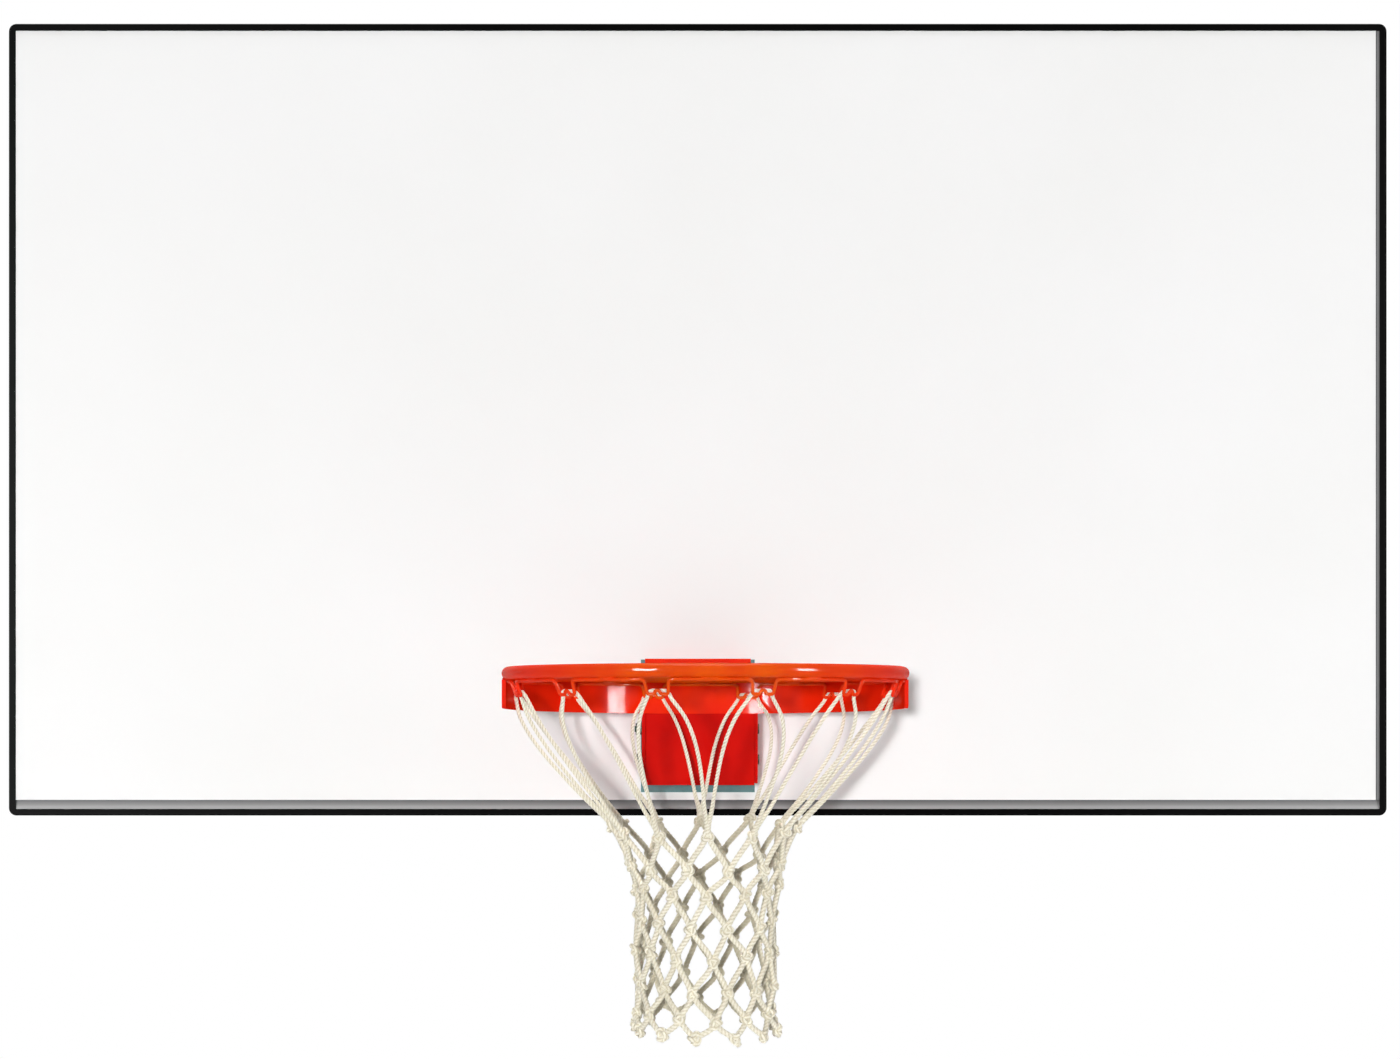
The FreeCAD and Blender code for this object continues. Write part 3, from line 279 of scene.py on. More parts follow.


# Laid nylon cord, twisted from three strands of spun yarn: chalky cream, painted shade between the strands,
# fuzzy, soil patches in the net's lower part, and painted shade greying the inward-facing sides there.
def makeCord():
    material, tree = newMaterial("creamTwistedCord")
    mapped = addNode(tree, "ShaderNodeTexCoord")
    place = mapped.outputs["Object"]
    # Painted shade: the yarn is darkest in the grooves between the strands and palest on their crests.
    groove = addNode(tree, "ShaderNodeAttribute", attribute_name="strand")
    tint = addNode(tree, "ShaderNodeValToRGB", links={"Fac": groove.outputs["Fac"]})
    setRamp(tint, [(0.0, "#CBC1A4"), (0.45, "#EFE9D4"), (1.0, "#FEFBEE")])
    offset = addNode(tree, "ShaderNodeVectorMath", {1: ringCentre}, {0: place}, operation="SUBTRACT")
    split = addNode(tree, "ShaderNodeSeparateXYZ", links={"Vector": offset.outputs["Vector"]})
    low = addNode(
        tree, "ShaderNodeMapRange", {"From Min": -0.12, "From Max": -0.20}, {"Value": split.outputs["Z"]})
    soil = addNode(tree, "ShaderNodeTexNoise", {"Scale": perMetre(45), "Detail": 4.0}, {"Vector": place})
    patches = addNode(
        tree, "ShaderNodeMapRange", {"From Min": 0.35, "From Max": 0.75, "To Min": 0.0, "To Max": 0.45},
        {"Value": soil.outputs["Fac"]})
    soiled = addNode(
        tree, "ShaderNodeMath", links={0: patches.outputs["Result"], 1: low.outputs["Result"]},
        operation="MULTIPLY")
    worn = addNode(
        tree, "ShaderNodeMix", {7: hexToLinear("#D6CDB2")},
        {0: soiled.outputs["Value"], 6: tint.outputs["Color"]}, data_type="RGBA")
    # Painted shade: in the net's lower part, faces turned inwards are mixed towards a darker grey beige, as
    # shade inside the net.
    level = addNode(
        tree, "ShaderNodeVectorMath", {1: (1.0, 1.0, 0.0)}, {0: offset.outputs["Vector"]},
        operation="MULTIPLY")
    outward = addNode(
        tree, "ShaderNodeVectorMath", links={0: level.outputs["Vector"]}, operation="NORMALIZE")
    facing = addNode(
        tree, "ShaderNodeVectorMath", links={0: outward.outputs["Vector"], 1: mapped.outputs["Normal"]},
        operation="DOT_PRODUCT")
    inwardShadeMask = addNode(
        tree, "ShaderNodeMapRange", {"From Min": 0.25, "From Max": -0.75, "To Max": 0.75},
        {"Value": facing.outputs["Value"]})
    lowInwardShade = addNode(
        tree, "ShaderNodeMath", links={0: inwardShadeMask.outputs["Result"], 1: low.outputs["Result"]},
        operation="MULTIPLY")
    soilAndShade = addNode(
        tree, "ShaderNodeMix", {7: hexToLinear("#A39C84")},
        {0: lowInwardShade.outputs["Value"], 6: worn.outputs[2]}, data_type="RGBA")
    fibre = addNode(  # drawn coarser than the real fibre, so that the fuzz shows
        tree, "ShaderNodeTexNoise", {"Scale": perMetre(0.7), "Detail": 3.0}, {"Vector": place})
    bump = addNode(
        tree, "ShaderNodeBump", {"Strength": 0.45, "Distance": 0.0005}, {"Height": fibre.outputs["Fac"]})
    shader = addNode(
        tree, "ShaderNodeBsdfPrincipled",
        {"Roughness": 0.88, "Specular IOR Level": 0.15, "Sheen Weight": 0.25},
        {"Base Color": soilAndShade.outputs[2], "Normal": bump.outputs["Normal"]})
    addNode(tree, "ShaderNodeOutputMaterial", links={"Surface": shader.outputs["BSDF"]})
    return material


whiteAcrylic = makeWhiteAcrylic()
blackCoat = makePowderCoat("blackPowderCoat", "#020202", "#040404", 1.6, 0.012)
charcoalCoat = makePowderCoat("charcoalPowderCoat", "#333436", "#3D3E41", 1.8, 0.4)
# One enamel in three copies with painted light: the ring's is lighter and more orange as lit, the plate's
# deeper red as shaded, and the brace's red lies between them.
ringEnamelLit = makeEnamel("orangeRedEnamelRingLit", "#E04404", "#E85604", "#F02A04", 0.2)
braceEnamel = makeEnamel("orangeRedEnamelBrace", "#EC2206", "#F22C06", "#E82006", 0.2)
plateEnamelShaded = makeEnamel("orangeRedEnamelPlateShaded", "#CA0D08", "#D2120A", "#C80D08", 0.1)
zincPlate = makeMetal("zincPlatedSteel", "#7F8C88", "#A9B5B1", 0.36, 0.8, (1.0, 1.0, 6.0))
darkZinc = makeMetal("tealZincPassivate", "#35483F", "#4A5F55", 0.42, 0.8, (1.0, 1.0, 6.0))
springSteel = makeMetal("oilTemperedSpringSteel", "#4A4D52", "#6B6E73", 0.34, 0.6, (1.0, 1.0, 1.0))
bronze = makeMetal("sinteredBronze", "#8C6634", "#B98B4C", 0.42, 0.5, (1.0, 1.0, 1.0))
thread = makeThread()
tealRubber = makeMoulded("tealGreyRubber", "#4A7376", "#5E8B8C", 0.62, 1.5)
blackRubber = makeMoulded("blackRubber", "#141414", "#232323", 0.75, 1.0)
blackPlastic = makeMoulded("blackPolyethylene", "#0E0E0E", "#1A1A1A", 0.5, 2.0)
plywood = makeSealedPlywood()
cordYarn = makeCord()
# Painted shade: each bead runs dark to pale across its width; the right one turns dark again at its far edge
# by the rail.
bottomBeadShade = makeShadedVinylBead(
    "greyVinylBeadBottomShade", "Z", -0.5048, -0.5168,
    [(0.0, "#343434"), (0.14, "#505050"), (0.45, "#6C6C6C"), (0.75, "#8E8E8E"), (1.0, "#A2A2A2")])
rightBeadShade = makeShadedVinylBead(
    "greyVinylBeadRightShade", "X", 0.9008, 0.9058,
    [(0.0, "#373737"), (0.25, "#505050"), (0.5, "#747474"), (0.75, "#686868"), (1.0, "#2A2A2A")])

dress(whiteAcrylic, "face_sheet")
dress(plywood, "backing_board")
dress(blackCoat, "rail_top", "rail_bottom", "rail_left", "rail_right")
dress(bottomBeadShade, "bead_bottom")
dress(rightBeadShade, "bead_right")
dress(charcoalCoat, "upright_left", "upright_right", "crossbar_upper", "crossbar_lower", "rim_backing_plate")
dress(charcoalCoat, "rim_post_left", "rim_post_right")
for level in ("upper", "lower"):
    for side in ("left", "right"):
        dress(charcoalCoat, f"outrigger_{level}_{side}", f"mount_ear_{level}_{side}")
dress(blackPlastic, "tube_plugs")
dress(zincPlate, "corner_plates", "rim_bolts", "rim_washers", "rim_nuts", "pivot_spacer", "stop_spacers")
dress(zincPlate, "rod_washers", "rod_nuts")
dress(darkZinc, "pivot_bolt", "pivot_nut", "stop_bolt", "stop_nut")
dress(thread, "rod_left", "rod_right")
dress(springSteel, "spring_left", "spring_right")
dress(bronze, "pivot_bushes")
dress(blackRubber, "stop_bumpers")
dress(tealRubber, "mounting_pad")
dress(ringEnamelLit, "ring", "net_hooks")
dress(braceEnamel, "ring_brace", "back_plate")
dress(plateEnamelShaded, "front_plate", "flange_left", "flange_right", "carrier_top", "spring_web")
dress(plateEnamelShaded, "saddle_upper", "saddle_lower", "cheek_left", "cheek_right")
dress(cordYarn, "net")
print("finishes: done")


# Round stock swept along points: laid cord with lobes, welds with ripples, wire.
def smoothLine(points, spacing):
    fine = []
    ends = [points[0] * 2 - points[1]] + list(points) + [points[-1] * 2 - points[-2]]
    for before, start, end, after in zip(ends, ends[1:], ends[2:], ends[3:]):
        steps = max(1, round((end - start).length / spacing))
        for step in range(steps):
            t = step / steps
            fine.append(0.5 * (
                2 * start + (end - before) * t + (2 * before - 5 * start + 4 * end - after) * t ** 2
                + (3 * start - 3 * end + after - before) * t ** 3))
    return fine + [points[-1]]


def sweptRings(line, radiusAt, sides):
    line = np.array([tuple(point) for point in line])
    heading = np.gradient(line, axis=0)
    heading /= np.linalg.norm(heading, axis=1)[:, None]
    travelled = np.concatenate([[0.0], np.cumsum(np.linalg.norm(np.diff(line, axis=0), axis=1))])
    askew = (0.31, 0.17, 0.94)  # a direction in which no line starts
    side = np.cross(heading[0], askew)
    rings, strands = [], []
    angles = np.arange(sides) * math.tau / sides
    for point, ahead, distance in zip(line, heading, travelled):
        side = side - ahead * np.dot(side, ahead)
        side /= np.linalg.norm(side)
        up = np.cross(ahead, side)
        radius, strand = radiusAt(distance, travelled[-1], angles)
        around = np.cos(angles)[:, None] * side + np.sin(angles)[:, None] * up
        rings.append(point + radius[:, None] * around)
        strands.append(strand)
    return np.concatenate(rings), np.concatenate(strands)


def sweptPiece(name, lines, radiusAt, sides, material, body):
    places, strands, faces = [], [], []
    count = 0
    for line in lines:
        rings, strand = sweptRings(line, radiusAt, sides)
        places.append(rings)
        strands.append(strand)
        for ring in range(len(line) - 1):
            low = count + ring * sides
            for corner in range(sides):
                after = (corner + 1) % sides
                faces.append((low + corner, low + after, low + sides + after, low + sides + corner))
        faces.append(tuple(count + corner for corner in reversed(range(sides))))
        count += len(rings)
        faces.append(tuple(count - sides + corner for corner in range(sides)))
    mesh = bpy.data.meshes.new(name)
    mesh.from_pydata(np.concatenate(places).tolist(), [], faces)
    shade = mesh.attributes.new("strand", "FLOAT", "POINT")
    shade.data.foreach_set("value", np.concatenate(strands).astype(np.float32))
    mesh.polygons.foreach_set("use_smooth", [True] * len(mesh.polygons))
    mesh.materials.append(material)
    piece = bpy.data.objects.new(name, mesh)
    scene.collection.objects.link(piece)
    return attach(piece, body)


# The net: laid cords that loop over the hooks and meet in bulky knots. Angles are counted from the front.
net = {
    "cord": 0.0047,
    "lay": 0.016,  # length of one twist of the three strands
    "loops": 12,
    "hookRadius": 0.2295,
    "hookDrop": 0.0271,
    "hookLean": 0.38,  # inwards, for each unit down
    "hookPath": [  # from the middle of a hook: sideways, towards the wall and above the bottom of its loops
        (0.0000, 0.0048, 0.0040),
        (0.0045, 0.0048, 0.0040),
        (0.0085, 0.0030, 0.0038),
        (0.0122, 0.0047, 0.0002),
        (0.0152, 0.0052, -0.0060),
    ],
    "rowDrop": [0.193, 0.233, 0.263, 0.301, 0.338, 0.378, 0.411, 0.430],
    "rowRadius": [0.110, 0.092, 0.086, 0.083, 0.081, 0.080, 0.082, 0.085],
    "rowTurn": [0.0, 0.0, 1.0, 1.5, 4.0, 3.5, 7.0, 6.0],
    "backLift": 0.014,  # the rows ride higher on the board's side
    "fullness": 0.52,  # how much fatter the worn cord is below the first row
    "wornFrom": 0.17,  # along the cord from its hook
    "wornOver": 0.05,
    "lobes": 0.11,  # how far the strands stand out, as a share of the cord's radius
    "rootRadius": 0.93,
    "scatter": 0.0034,
    "legBow": (0.020, 0.032),
    "bowUpper": 0.25,  # where the bow starts and ends, as shares of the leg from each end
    "bowLower": 0.4,
    "bowOutward": 0.6,
    "bowKept": 0.35,  # share of the bow left at its lower end
    "bowShares": (0.15, 0.3, 0.45, 0.6, 0.8),
    "crossing": 0.0016,  # how far the two cords of a knot lie from its middle
    "knotSize": 0.0021,
    "knotSizes": (0.9, 1.1),
    "knotWorn": 0.5,
    "knotTilt": 0.5,
    "knotSteps": 48,
    "tail": (0.006, 0.010),
    "tailScatter": 0.004,
    "spacing": 0.0022,
    "sides": 12,
    "seed": 12,
}
rand = random.Random(net["seed"])


def aroundRing(degrees, radius, height):
    angle = math.radians(degrees)
    return ringCentre + Vector((radius * math.sin(angle), -radius * math.cos(angle), height))


def laid(wornAt):
    def radiusAt(distance, length, angles):
        lobes = np.cos(3 * (angles - math.tau * distance / net["lay"]))
        full = 1.0 + net["fullness"] * wornAt(abs(distance - length / 2))
        strand = 0.5 + 0.5 * lobes  # 0 between the strands, 1 on them
        return net["cord"] / 2 * (net["rootRadius"] + net["lobes"] * lobes) * full, strand
    return radiusAt


loopStep = 360 / net["loops"]  # degrees between the hooks
knots = []
for row, (drop, radius, turn) in enumerate(zip(net["rowDrop"], net["rowRadius"], net["rowTurn"])):
    start = turn if row % 2 == 0 else turn + loopStep / 2
    knots.append([])
    for count in range(net["loops"]):
        jitter = Vector([rand.uniform(-1, 1) * net["scatter"] for axis in range(3)])
        turned = start + count * loopStep
        lift = net["backLift"] * (1 - math.cos(math.radians(turned))) / 2
        knots[row].append(aroundRing(turned, radius, lift - drop) + jitter)


def bentLine(start, first, second, end, shares):
    line = []
    for t in shares:
        s = 1 - t
        line.append(start * s ** 3 + first * 3 * s * s * t + second * 3 * s * t * t + end * t ** 3)
    return line


def netLeg(loop, side):
    turned = math.radians((loop + 0.5) * loopStep)
    across = Vector((math.cos(turned), math.sin(turned), 0)) * side
    out = Vector((math.sin(turned), -math.cos(turned), 0))
    hook = ringCentre + out * net["hookRadius"] - Vector((0, 0, net["hookDrop"]))
    behind = out if out.y > 0 else -out
    rise = Vector((0, 0, 1)) + out * net["hookLean"]
    points = [hook + across * a + behind * b + rise * c for a, b, c in net["hookPath"]]
    near = (loop + (side + 1) // 2) % net["loops"]
    first = knots[0][near]
    bow = rand.uniform(*net["legBow"])
    leaving = points[-1].lerp(first, net["bowUpper"]) + (across + out * net["bowOutward"]) * bow
    arriving = first.lerp(points[-1], net["bowLower"]) + (across + out) * bow * net["bowKept"]
    points += bentLine(points[-1], leaving, arriving, first, net["bowShares"])
    for row, ring in enumerate(knots):
        aside = net["crossing"] if row % 2 else -net["crossing"]
        points.append(ring[loop if row % 2 else near] + across * aside)
    tail = rand.uniform(*net["tail"])
    stray = net["tailScatter"]
    points.append(points[-1] + Vector((rand.uniform(-stray, stray), rand.uniform(-stray, stray), -tail)))
    return points


netLines = []
for loop in range(net["loops"]):
    left, right = netLeg(loop, -1), netLeg(loop, 1)
    netLines.append(smoothLine(list(reversed(left)) + right[1:], net["spacing"]))
legCord = laid(lambda fromHook: min(1.0, max(0.0, (fromHook - net["wornFrom"]) / net["wornOver"])))
netCords = sweptPiece("netCords", netLines, legCord, net["sides"], cordYarn, "rim")
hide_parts("net")


# Each knot is a tight overhand turn, lying against the net with its own tilt.
def knotLine(centre, size, spin, tilt):
    outward = Vector((centre.x - ringCentre.x, centre.y - ringCentre.y, 0)).normalized()
    across = Vector((-outward.y, outward.x, 0))
    basis = Matrix((across, Vector((0, 0, 1)), outward)).transposed()
    basis = basis @ Matrix.Rotation(spin, 3, "Z") @ Matrix.Rotation(tilt, 3, "X")
    line = []
    for count in range(net["knotSteps"] + 1):
        t = math.tau * count / net["knotSteps"]
        bend = Vector((
            math.sin(t) + 2 * math.sin(2 * t), math.cos(t) - 2 * math.cos(2 * t), -1.5 * math.sin(3 * t)))
        line.append(centre + basis @ (bend * size))
    return line


knotLines = []
for ring in knots:
    for centre in ring:
        size = net["knotSize"] * rand.uniform(*net["knotSizes"])
        spin, tilt = rand.uniform(0, math.tau), rand.uniform(-net["knotTilt"], net["knotTilt"])
        knotLines.append(knotLine(centre, size, spin, tilt))
knotCord = laid(lambda fromHook: net["knotWorn"])
sweptPiece("netKnots", knotLines, knotCord, net["sides"], cordYarn, "rim")
print("net: done")


# Coil springs on the two rods, wound from round wire, built at their rest length. On the real rim they
# shorten as it tips.
spring = {
    "middle": 0.030,
    "height": -0.4105,
    "washerEnd": -0.1780,
    "webEnd": -0.1318,
    "coilRadius": 0.013,
    "wire": 0.0048,
    "turns": 4,
    "steps": 40,  # points in a turn
    "sides": 14,
    "gap": 0.0003,
    "kept": 0.566,  # share of the length left at full tilt
}


def wireRadius(distance, length, angles):
    return np.full(len(angles), spring["wire"] / 2), np.ones(len(angles))


for side, name in ((-1, "spring_left"), (1, "spring_right")):
    low = spring["washerEnd"] + spring["gap"] + spring["wire"] / 2
    rise = spring["webEnd"] - spring["gap"] - spring["wire"] / 2 - low
    line = []
    points = spring["turns"] * spring["steps"]
    for count in range(points + 1):
        angle = math.tau * count / spring["steps"]
        share = count / points
        line.append(Vector((
            side * spring["middle"] + spring["coilRadius"] * math.cos(angle), low + rise * share,
            spring["height"] + spring["coilRadius"] * math.sin(angle))))
    coil = sweptPiece(
        f"coil_{name}", [line], wireRadius, spring["sides"], springSteel, "spring_rods")
    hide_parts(name)
    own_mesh(coil)
print("springs: done")


# Weld beads: rippled, painted over with what they join.
weld = {
    "rim": 0.0022,  # radii of the beads
    "hook": 0.0024,
    "frame": 0.0032,
    "ripple": 0.0026,
    "swell": 0.12,  # of the ripples, as a share of the radius
    "endTaper": 1.5,  # length of the thin ends, in bead radii
    "endShare": 0.25,  # of the radius, at the very end
    "sides": 10,
    "frameSides": 8,
    "spacing": 0.0009,
    "frameSpacing": 0.0016,
    "hookHalf": 2.6,  # degrees to each side of the middle
    "hookRadius": 0.2362,
    "hookHeight": -0.0086,  # heights on the rim count from the ring's plane
    "braceSpots": range(96, 270, 24),  # degrees from the front
    "braceHalf": 3,
    "braceRadius": 0.2428,
    "braceHeight": -0.0064,
    "saddleHeights": (-0.0142, -0.0206, -0.0342, -0.0406),
    "saddleEnds": (164.7, 195.3),
    "saddleRadius": 0.2448,
    "saddleHalf": 0.0655,
    "saddleDepth": -0.2004,
    "cheekAside": (-0.0693, 0.0693),
    "cheekDepth": -0.0796,
    "cheekEnds": (-0.476, -0.332),
    "tubeDepth": -0.028,
    "tubeHalf": 0.0204,
    "crossbars": (-0.184, 0.184),
    "crossbarEnds": (-0.4202, -0.3798, 0.3798, 0.4202),
    "posts": (-0.095, 0.095),
    "postTop": -0.2042,
    "earAside": (-0.400, 0.400),
    "earHeights": (-0.254, 0.254),
    "earEdges": (-0.0352, 0.0352),
    "earDepth": -0.0078,
    "earHalf": 0.017,
}


def rippled(radius):
    def radiusAt(distance, length, angles):
        fromEnd = min(distance, length - distance)
        ends = min(1.0, weld["endShare"] + fromEnd / (radius * weld["endTaper"]))
        swell = 1.0 + weld["swell"] * math.sin(math.tau * distance / weld["ripple"])
        return np.full(len(angles), radius * ends * swell), np.ones(len(angles))
    return radiusAt


def arcLine(low, high, radius, height):
    count = int(math.radians(high - low) * radius / weld["spacing"])
    return [aroundRing(low + (high - low) * i / count, radius, height) for i in range(count + 1)]


def straightLine(start, end, spacing=weld["spacing"]):
    start, end = Vector(start), Vector(end)
    count = int((end - start).length / spacing)
    return [start.lerp(end, i / count) for i in range(count + 1)]


def tackLine(middle, half, radius, height):
    return arcLine(middle - half, middle + half, radius, height)


hookWelds = []
for loop in range(net["loops"]):
    hookWelds.append(tackLine(loop * loopStep, weld["hookHalf"], weld["hookRadius"], weld["hookHeight"]))
sweptPiece("hookWelds", hookWelds, rippled(weld["hook"]), weld["sides"], ringEnamelLit, "rim")

rimWelds = []
for middle in weld["braceSpots"]:
    rimWelds.append(tackLine(middle, weld["braceHalf"], weld["braceRadius"], weld["braceHeight"]))
for height in weld["saddleHeights"]:
    rimWelds.append(arcLine(*weld["saddleEnds"], weld["saddleRadius"], height))
    half, deep, level = weld["saddleHalf"], weld["saddleDepth"], ringCentre.z + height
    rimWelds.append(straightLine((-half, deep, level), (half, deep, level)))
sweptPiece("rimWelds", rimWelds, rippled(weld["rim"]), weld["sides"], plateEnamelShaded, "rim")

cheekWelds = []
for x in weld["cheekAside"]:
    foot, top = [(x, weld["cheekDepth"], z) for z in weld["cheekEnds"]]
    cheekWelds.append(straightLine(foot, top))
sweptPiece("cheekWelds", cheekWelds, rippled(weld["rim"]), weld["sides"], plateEnamelShaded, "board")


# A bead round the seen sides of a square tube where it meets a flat face.
def collarLine(x, z, across):
    centre, half = Vector((x, weld["tubeDepth"], z)), weld["tubeHalf"]
    corners = [(-1, -1), (-1, 1), (1, 1), (1, -1)]  # open on the board's side
    points = [centre + Vector(across) * a * half + Vector((0, 1, 0)) * b * half for a, b in corners]
    line = []
    for start, end in zip(points, points[1:]):
        line += straightLine(start, end, weld["frameSpacing"])[:-1]
    return line + [points[-1]]


frameWelds = []
for z in weld["crossbars"]:
    for x in weld["crossbarEnds"]:
        frameWelds.append(collarLine(x, z, (0, 0, 1)))
for x in weld["posts"]:
    frameWelds.append(collarLine(x, weld["postTop"], (1, 0, 0)))
for x in weld["earAside"]:
    ends = (x - weld["earHalf"], x + weld["earHalf"])
    for z in weld["earHeights"]:
        for edge in weld["earEdges"]:
            left, right = [(end, weld["earDepth"], z + edge) for end in ends]
            frameWelds.append(straightLine(left, right))
frameBead = rippled(weld["frame"])
sweptPiece("frameWelds", frameWelds, frameBead, weld["frameSides"], charcoalCoat, "board")
print("welds: done")


# Pan-head screws with a cross recess, on the rails' rear lips and the corner plates.
screw = {
    "head": 0.0045,
    "rise": 0.0026,
    "profile": ((1.0, 0.0), (1.0, 0.35), (0.86, 0.75), (0.6, 1.0)),  # shares of the head and of its rise
    "slot": 0.0011,
    "slotReach": 0.45,  # as a share of the head
    "slotFloor": 0.45,  # as a share of the rise
    "sides": 20,
    "lipDepth": -0.0455,
    "lipHeight": 0.5135,
    "lipAside": 0.9025,
    "lipAcross": (-0.70, -0.55, -0.25, 0.0, 0.25, 0.55, 0.70),
    "lipUp": (-0.35, -0.06, 0.06, 0.35),
    "plateDepth": -0.0425,
    "plateCorner": (0.9105, 0.5215),
    "plateInset": 0.0070,
    "plateAlong": (0.028, 0.072),
}


def screwHead(build, centre, spin):
    rings = []
    for radius, rise in screw["profile"]:
        ring = []
        for count in range(screw["sides"]):
            angle = math.tau * count / screw["sides"]
            outward = Vector((math.cos(angle), 0, math.sin(angle))) * radius * screw["head"]
            ring.append(build.verts.new(centre + outward + Vector((0, rise * screw["rise"], 0))))
        rings.append(ring)
    for low, high in zip(rings, rings[1:]):
        for count in range(screw["sides"]):
            after = (count + 1) % screw["sides"]
            build.faces.new((low[count], high[count], high[after], low[after]))
    # the recess: a cross whose floor lies below the crown
    crown, floor = [], []
    reach, half = screw["slotReach"] * screw["head"], screw["slot"] / 2
    outline = [(reach, -half), (reach, half), (half, half), (half, reach), (-half, reach), (-half, half)]
    outline += [(-a, -b) for a, b in outline]
    for a, b in outline:
        turned = Vector((a * math.cos(spin) - b * math.sin(spin), 0, a * math.sin(spin) + b * math.cos(spin)))
        crown.append(build.verts.new(centre + turned + Vector((0, screw["rise"], 0))))
        floor.append(build.verts.new(centre + turned + Vector((0, screw["rise"] * screw["slotFloor"], 0))))
    for count in range(len(crown)):
        after = (count + 1) % len(crown)
        build.faces.new((crown[count], floor[count], floor[after], crown[after]))
    build.faces.new(list(reversed(floor)))
    loops = [build.edges.get((ring[i - 1], ring[i])) or build.edges.new((ring[i - 1], ring[i]))
             for ring in (rings[-1], crown) for i in range(len(ring))]
    bmesh.ops.triangle_fill(build, use_beauty=True, edges=loops)


build = bmesh.new()
spots = []
for x in screw["lipAcross"]:
    spots += [(x, screw["lipDepth"], z) for z in (-screw["lipHeight"], screw["lipHeight"])]
for z in screw["lipUp"]:
    spots += [(x, screw["lipDepth"], z) for x in (-screw["lipAside"], screw["lipAside"])]
plateX, plateZ = screw["plateCorner"]
inset, deep = screw["plateInset"], screw["plateDepth"]
for xSign in (-1, 1):
    for zSign in (-1, 1):
        for along in screw["plateAlong"]:
            spots.append((xSign * (plateX - along), deep, zSign * (plateZ - inset)))
            spots.append((xSign * (plateX - inset), deep, zSign * (plateZ - along)))
for spot in spots:
    screwHead(build, Vector(spot), rand.uniform(0, math.pi / 2))
bmesh.ops.recalc_face_normals(build, faces=build.faces)
screwMesh = bpy.data.meshes.new("railScrews")
build.to_mesh(screwMesh)
build.free()
screwMesh.materials.append(zincPlate)
screws = bpy.data.objects.new("railScrews", screwMesh)
scene.collection.objects.link(screws)
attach(screws, "board")
print("screws: done")


# Broken edges on the sheet-metal and turned pieces, so that they catch the light.
brokenEdges = {
    "segments": 3,
    "leastAngle": 40.0,
    "widths": {
        0.0006: [
            "carrier_top", "saddle_upper", "saddle_lower", "pivot_nut", "stop_nut", "rim_bolts", "rim_nuts"],
        0.0008: ["mounting_pad", "rim_backing_plate", "pivot_bolt", "stop_bolt"],
        0.0010: ["front_plate", "back_plate"],
    },
}
for width, group in brokenEdges["widths"].items():
    for name in group:
        edge = nodes[name].modifiers.new("brokenEdge", "BEVEL")
        edge.width = width
        edge.segments = brokenEdges["segments"]
        edge.limit_method = "ANGLE"
        edge.angle_limit = math.radians(brokenEdges["leastAngle"])
        edge.harden_normals = True
print("edges: done")


# Floor, light and camera
studio = {
    "floorHeight": -1.15,
    "floorSize": 60.0,
    "fade": (1.2, 2.5),  # where the floor starts and ends its fade, from the middle
    "floorLight": 0.12,
    "frontLight": 0.09,
    "backLight": 0.50,
    "lightTurn": (-0.6, 0.8),  # from front to back, as the Y of a direction
    "lamps": [  # name, place, aim, width, height, watts, whether it lights, whether it shows in gloss
        ("keyFlash", (-0.82, -9.00, -0.24), (0.0, -0.07, 0.0), 0.34, 0.34, 508.0, True, False),
        ("leftFill", (-2.05, -3.2, -0.05), (0.0, -0.2, -0.1), 0.25, 1.2, 2.0, True, False),
        ("rightFill", (2.75, -1.75, 0.05), (0.0, -0.2, -0.1), 0.21, 1.1, 8.0, True, False),
        ("leftCard", (-1.96, -3.3, -0.05), (0.0, -0.45, -0.34), 0.75, 1.8, 430.0, False, True),
        ("rightCard", (2.55, -2.25, 0.05), (0.0, -0.45, -0.34), 0.60, 1.6, 300.0, False, True),
        ("rearSoftbox", (0.8, 3.4, 1.6), (0.0, 0.0, 0.0), 1.8, 1.4, 75.0, True, True),
        ("topSoftbox", (0.0, -1.3, 3.9), (0.0, -0.6, 0.0), 2.0, 1.6, 50.0, True, True),
        ("overheadSoftbox", (0.0, 0.75, 4.2), (0.0, -0.1, -1.15), 2.4, 1.8, 70.0, True, True),
    ],
}
view = {
    "eye": (-0.094, -4.0485, -0.4053),
    "focalPixels": 2997.0,
    "framePixels": 1400.0,
    "shift": (0.05218, 0.13964),
    "sensor": 36.0,
    "clipEnd": 200.0,
}

# White studio floor: shows the shadow near the object and fades to the white surround further off.
floorPaint, tree = newMaterial("whiteStudioFloor")
place = addNode(tree, "ShaderNodeTexCoord").outputs["Object"]
distance = addNode(tree, "ShaderNodeVectorMath", links={0: place}, operation="LENGTH")
fade = addNode(
    tree, "ShaderNodeMapRange", {"From Min": studio["fade"][0], "From Max": studio["fade"][1]},
    {"Value": distance.outputs["Value"]})
grain = addNode(tree, "ShaderNodeTexNoise", {"Scale": perMetre(300), "Detail": 2.0}, {"Vector": place})
tone = addNode(tree, "ShaderNodeValToRGB", links={"Fac": grain.outputs["Fac"]})
setRamp(tone, [(0.3, "#F0F0F0"), (0.7, "#F4F4F4")])
matt = addNode(tree, "ShaderNodeBsdfDiffuse", links={"Color": tone.outputs["Color"]})
ray = addNode(tree, "ShaderNodeLightPath")
direct = addNode(
    tree, "ShaderNodeMath", links={0: ray.outputs["Is Camera Ray"], 1: ray.outputs["Is Glossy Ray"]},
    operation="MAXIMUM")
seen = addNode(
    tree, "ShaderNodeMapRange", {"To Min": studio["floorLight"], "To Max": 1.0},
    {"Value": direct.outputs["Value"]})
glow = addNode(tree, "ShaderNodeEmission", links={"Strength": seen.outputs["Result"]})
surface = addNode(
    tree, "ShaderNodeMixShader",
    links={0: fade.outputs["Result"], 1: matt.outputs["BSDF"], 2: glow.outputs["Emission"]})
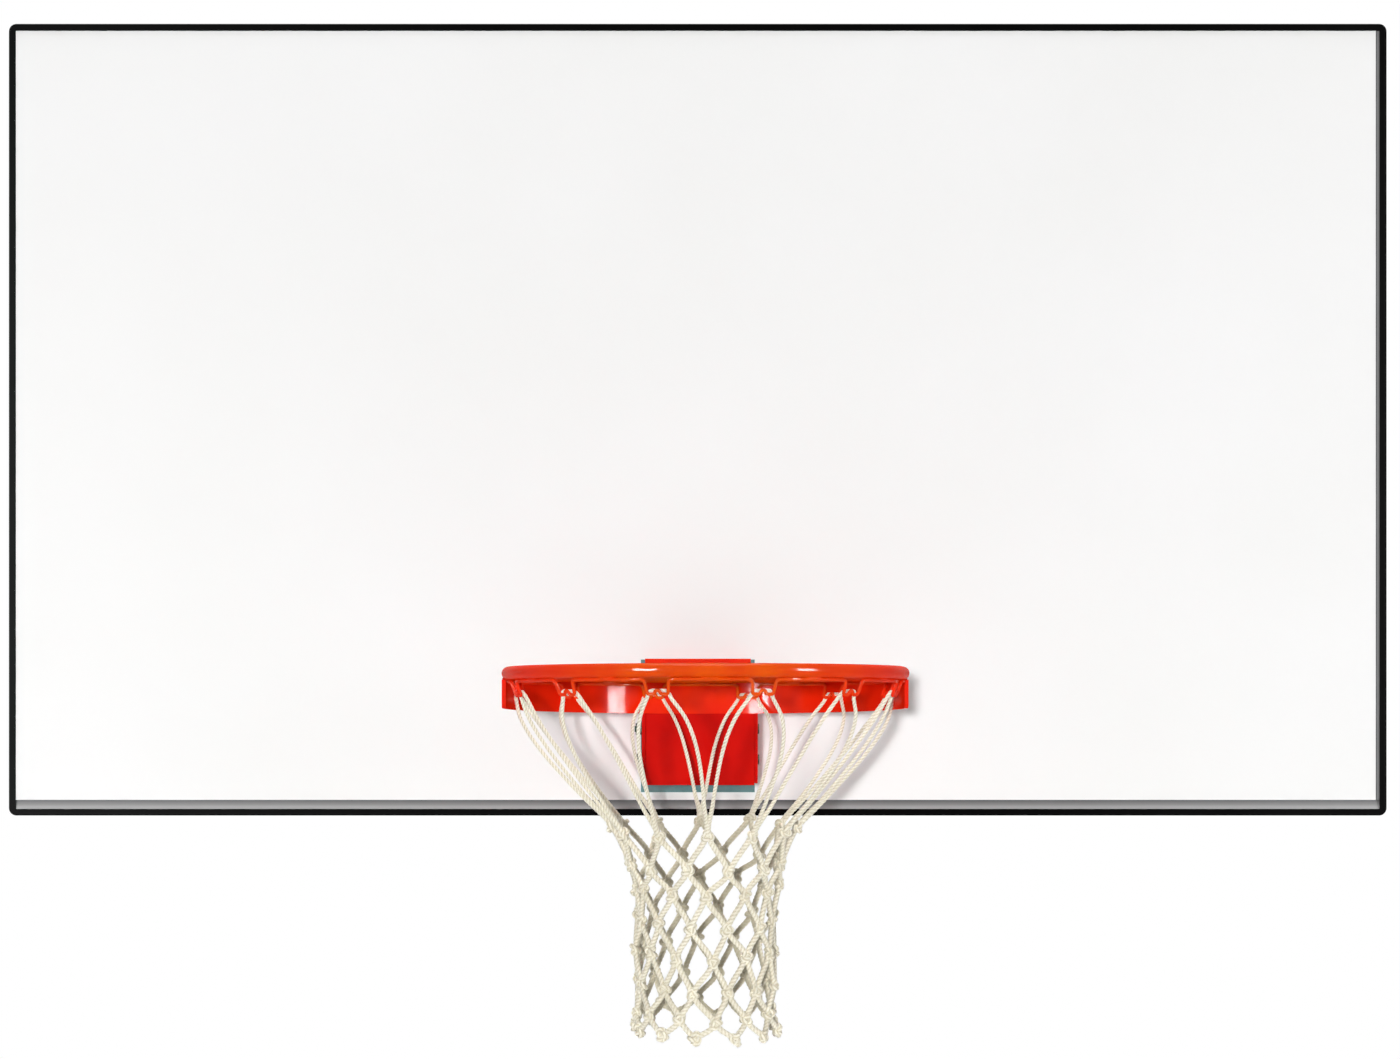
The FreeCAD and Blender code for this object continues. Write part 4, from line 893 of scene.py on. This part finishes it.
addNode(tree, "ShaderNodeOutputMaterial", links={"Surface": surface.outputs["Shader"]})
floorMesh = bpy.data.meshes.new("studioFloor")
half = studio["floorSize"] / 2
floorCorners = [(-half, -half, 0), (half, -half, 0), (half, half, 0), (-half, half, 0)]
floorMesh.from_pydata(floorCorners, [], [(0, 1, 2, 3)])
floorMesh.materials.append(floorPaint)
floor = bpy.data.objects.new("studioFloor", floorMesh)
floor.location.z = studio["floorHeight"]
scene.collection.objects.link(floor)

# Surround: white to the camera, in gloss and through clear pieces. Its light on the object is softer in front
# than behind.
world = bpy.data.worlds.new("studioSurround")
scene.world = world
world.use_nodes = True
tree = world.node_tree
tree.nodes.clear()
ray = addNode(tree, "ShaderNodeLightPath")
facing = addNode(tree, "ShaderNodeTexCoord")
split = addNode(tree, "ShaderNodeSeparateXYZ", links={"Vector": facing.outputs["Generated"]})
level = addNode(
    tree, "ShaderNodeMapRange",
    {"From Min": studio["lightTurn"][0], "From Max": studio["lightTurn"][1],
     "To Min": studio["frontLight"], "To Max": studio["backLight"]},
    {"Value": split.outputs["Y"]})
direct = addNode(
    tree, "ShaderNodeMath", links={0: ray.outputs["Is Camera Ray"], 1: ray.outputs["Is Glossy Ray"]},
    operation="MAXIMUM")
seen = addNode(
    tree, "ShaderNodeMath", links={0: direct.outputs["Value"], 1: ray.outputs["Is Transmission Ray"]},
    operation="MAXIMUM")
strength = addNode(
    tree, "ShaderNodeMix", {"B": 1.0}, {"Factor": seen.outputs["Value"], "A": level.outputs["Result"]},
    data_type="FLOAT")
sky = addNode(
    tree, "ShaderNodeBackground", {"Color": hexToLinear("#FFFFFF")}, {"Strength": strength.outputs["Result"]})
addNode(tree, "ShaderNodeOutputWorld", links={"Surface": sky.outputs["Background"]})

for name, spot, aim, width, height, watts, lights, shows in studio["lamps"]:
    lampData = bpy.data.lights.new(name, "AREA")
    lampData.shape = "RECTANGLE"
    lampData.size = width
    lampData.size_y = height
    lampData.energy = watts
    lamp = bpy.data.objects.new(name, lampData)
    lamp.location = spot
    lamp.visible_camera = False
    lamp.visible_diffuse = lights
    lamp.visible_glossy = shows
    lamp.rotation_mode = "QUATERNION"
    lamp.rotation_quaternion = (Vector(aim) - Vector(spot)).to_track_quat("-Z", "Y")
    scene.collection.objects.link(lamp)

cameraData = bpy.data.cameras.new("photoCamera")
cameraData.sensor_width = view["sensor"]
cameraData.lens = view["sensor"] * view["focalPixels"] / view["framePixels"]
cameraData.shift_x, cameraData.shift_y = view["shift"]
cameraData.clip_end = view["clipEnd"]
camera = bpy.data.objects.new("photoCamera", cameraData)
camera.location = view["eye"]
camera.rotation_euler = (math.pi / 2, 0.0, 0.0)
scene.collection.objects.link(camera)
scene.camera = camera
print("studio: done")
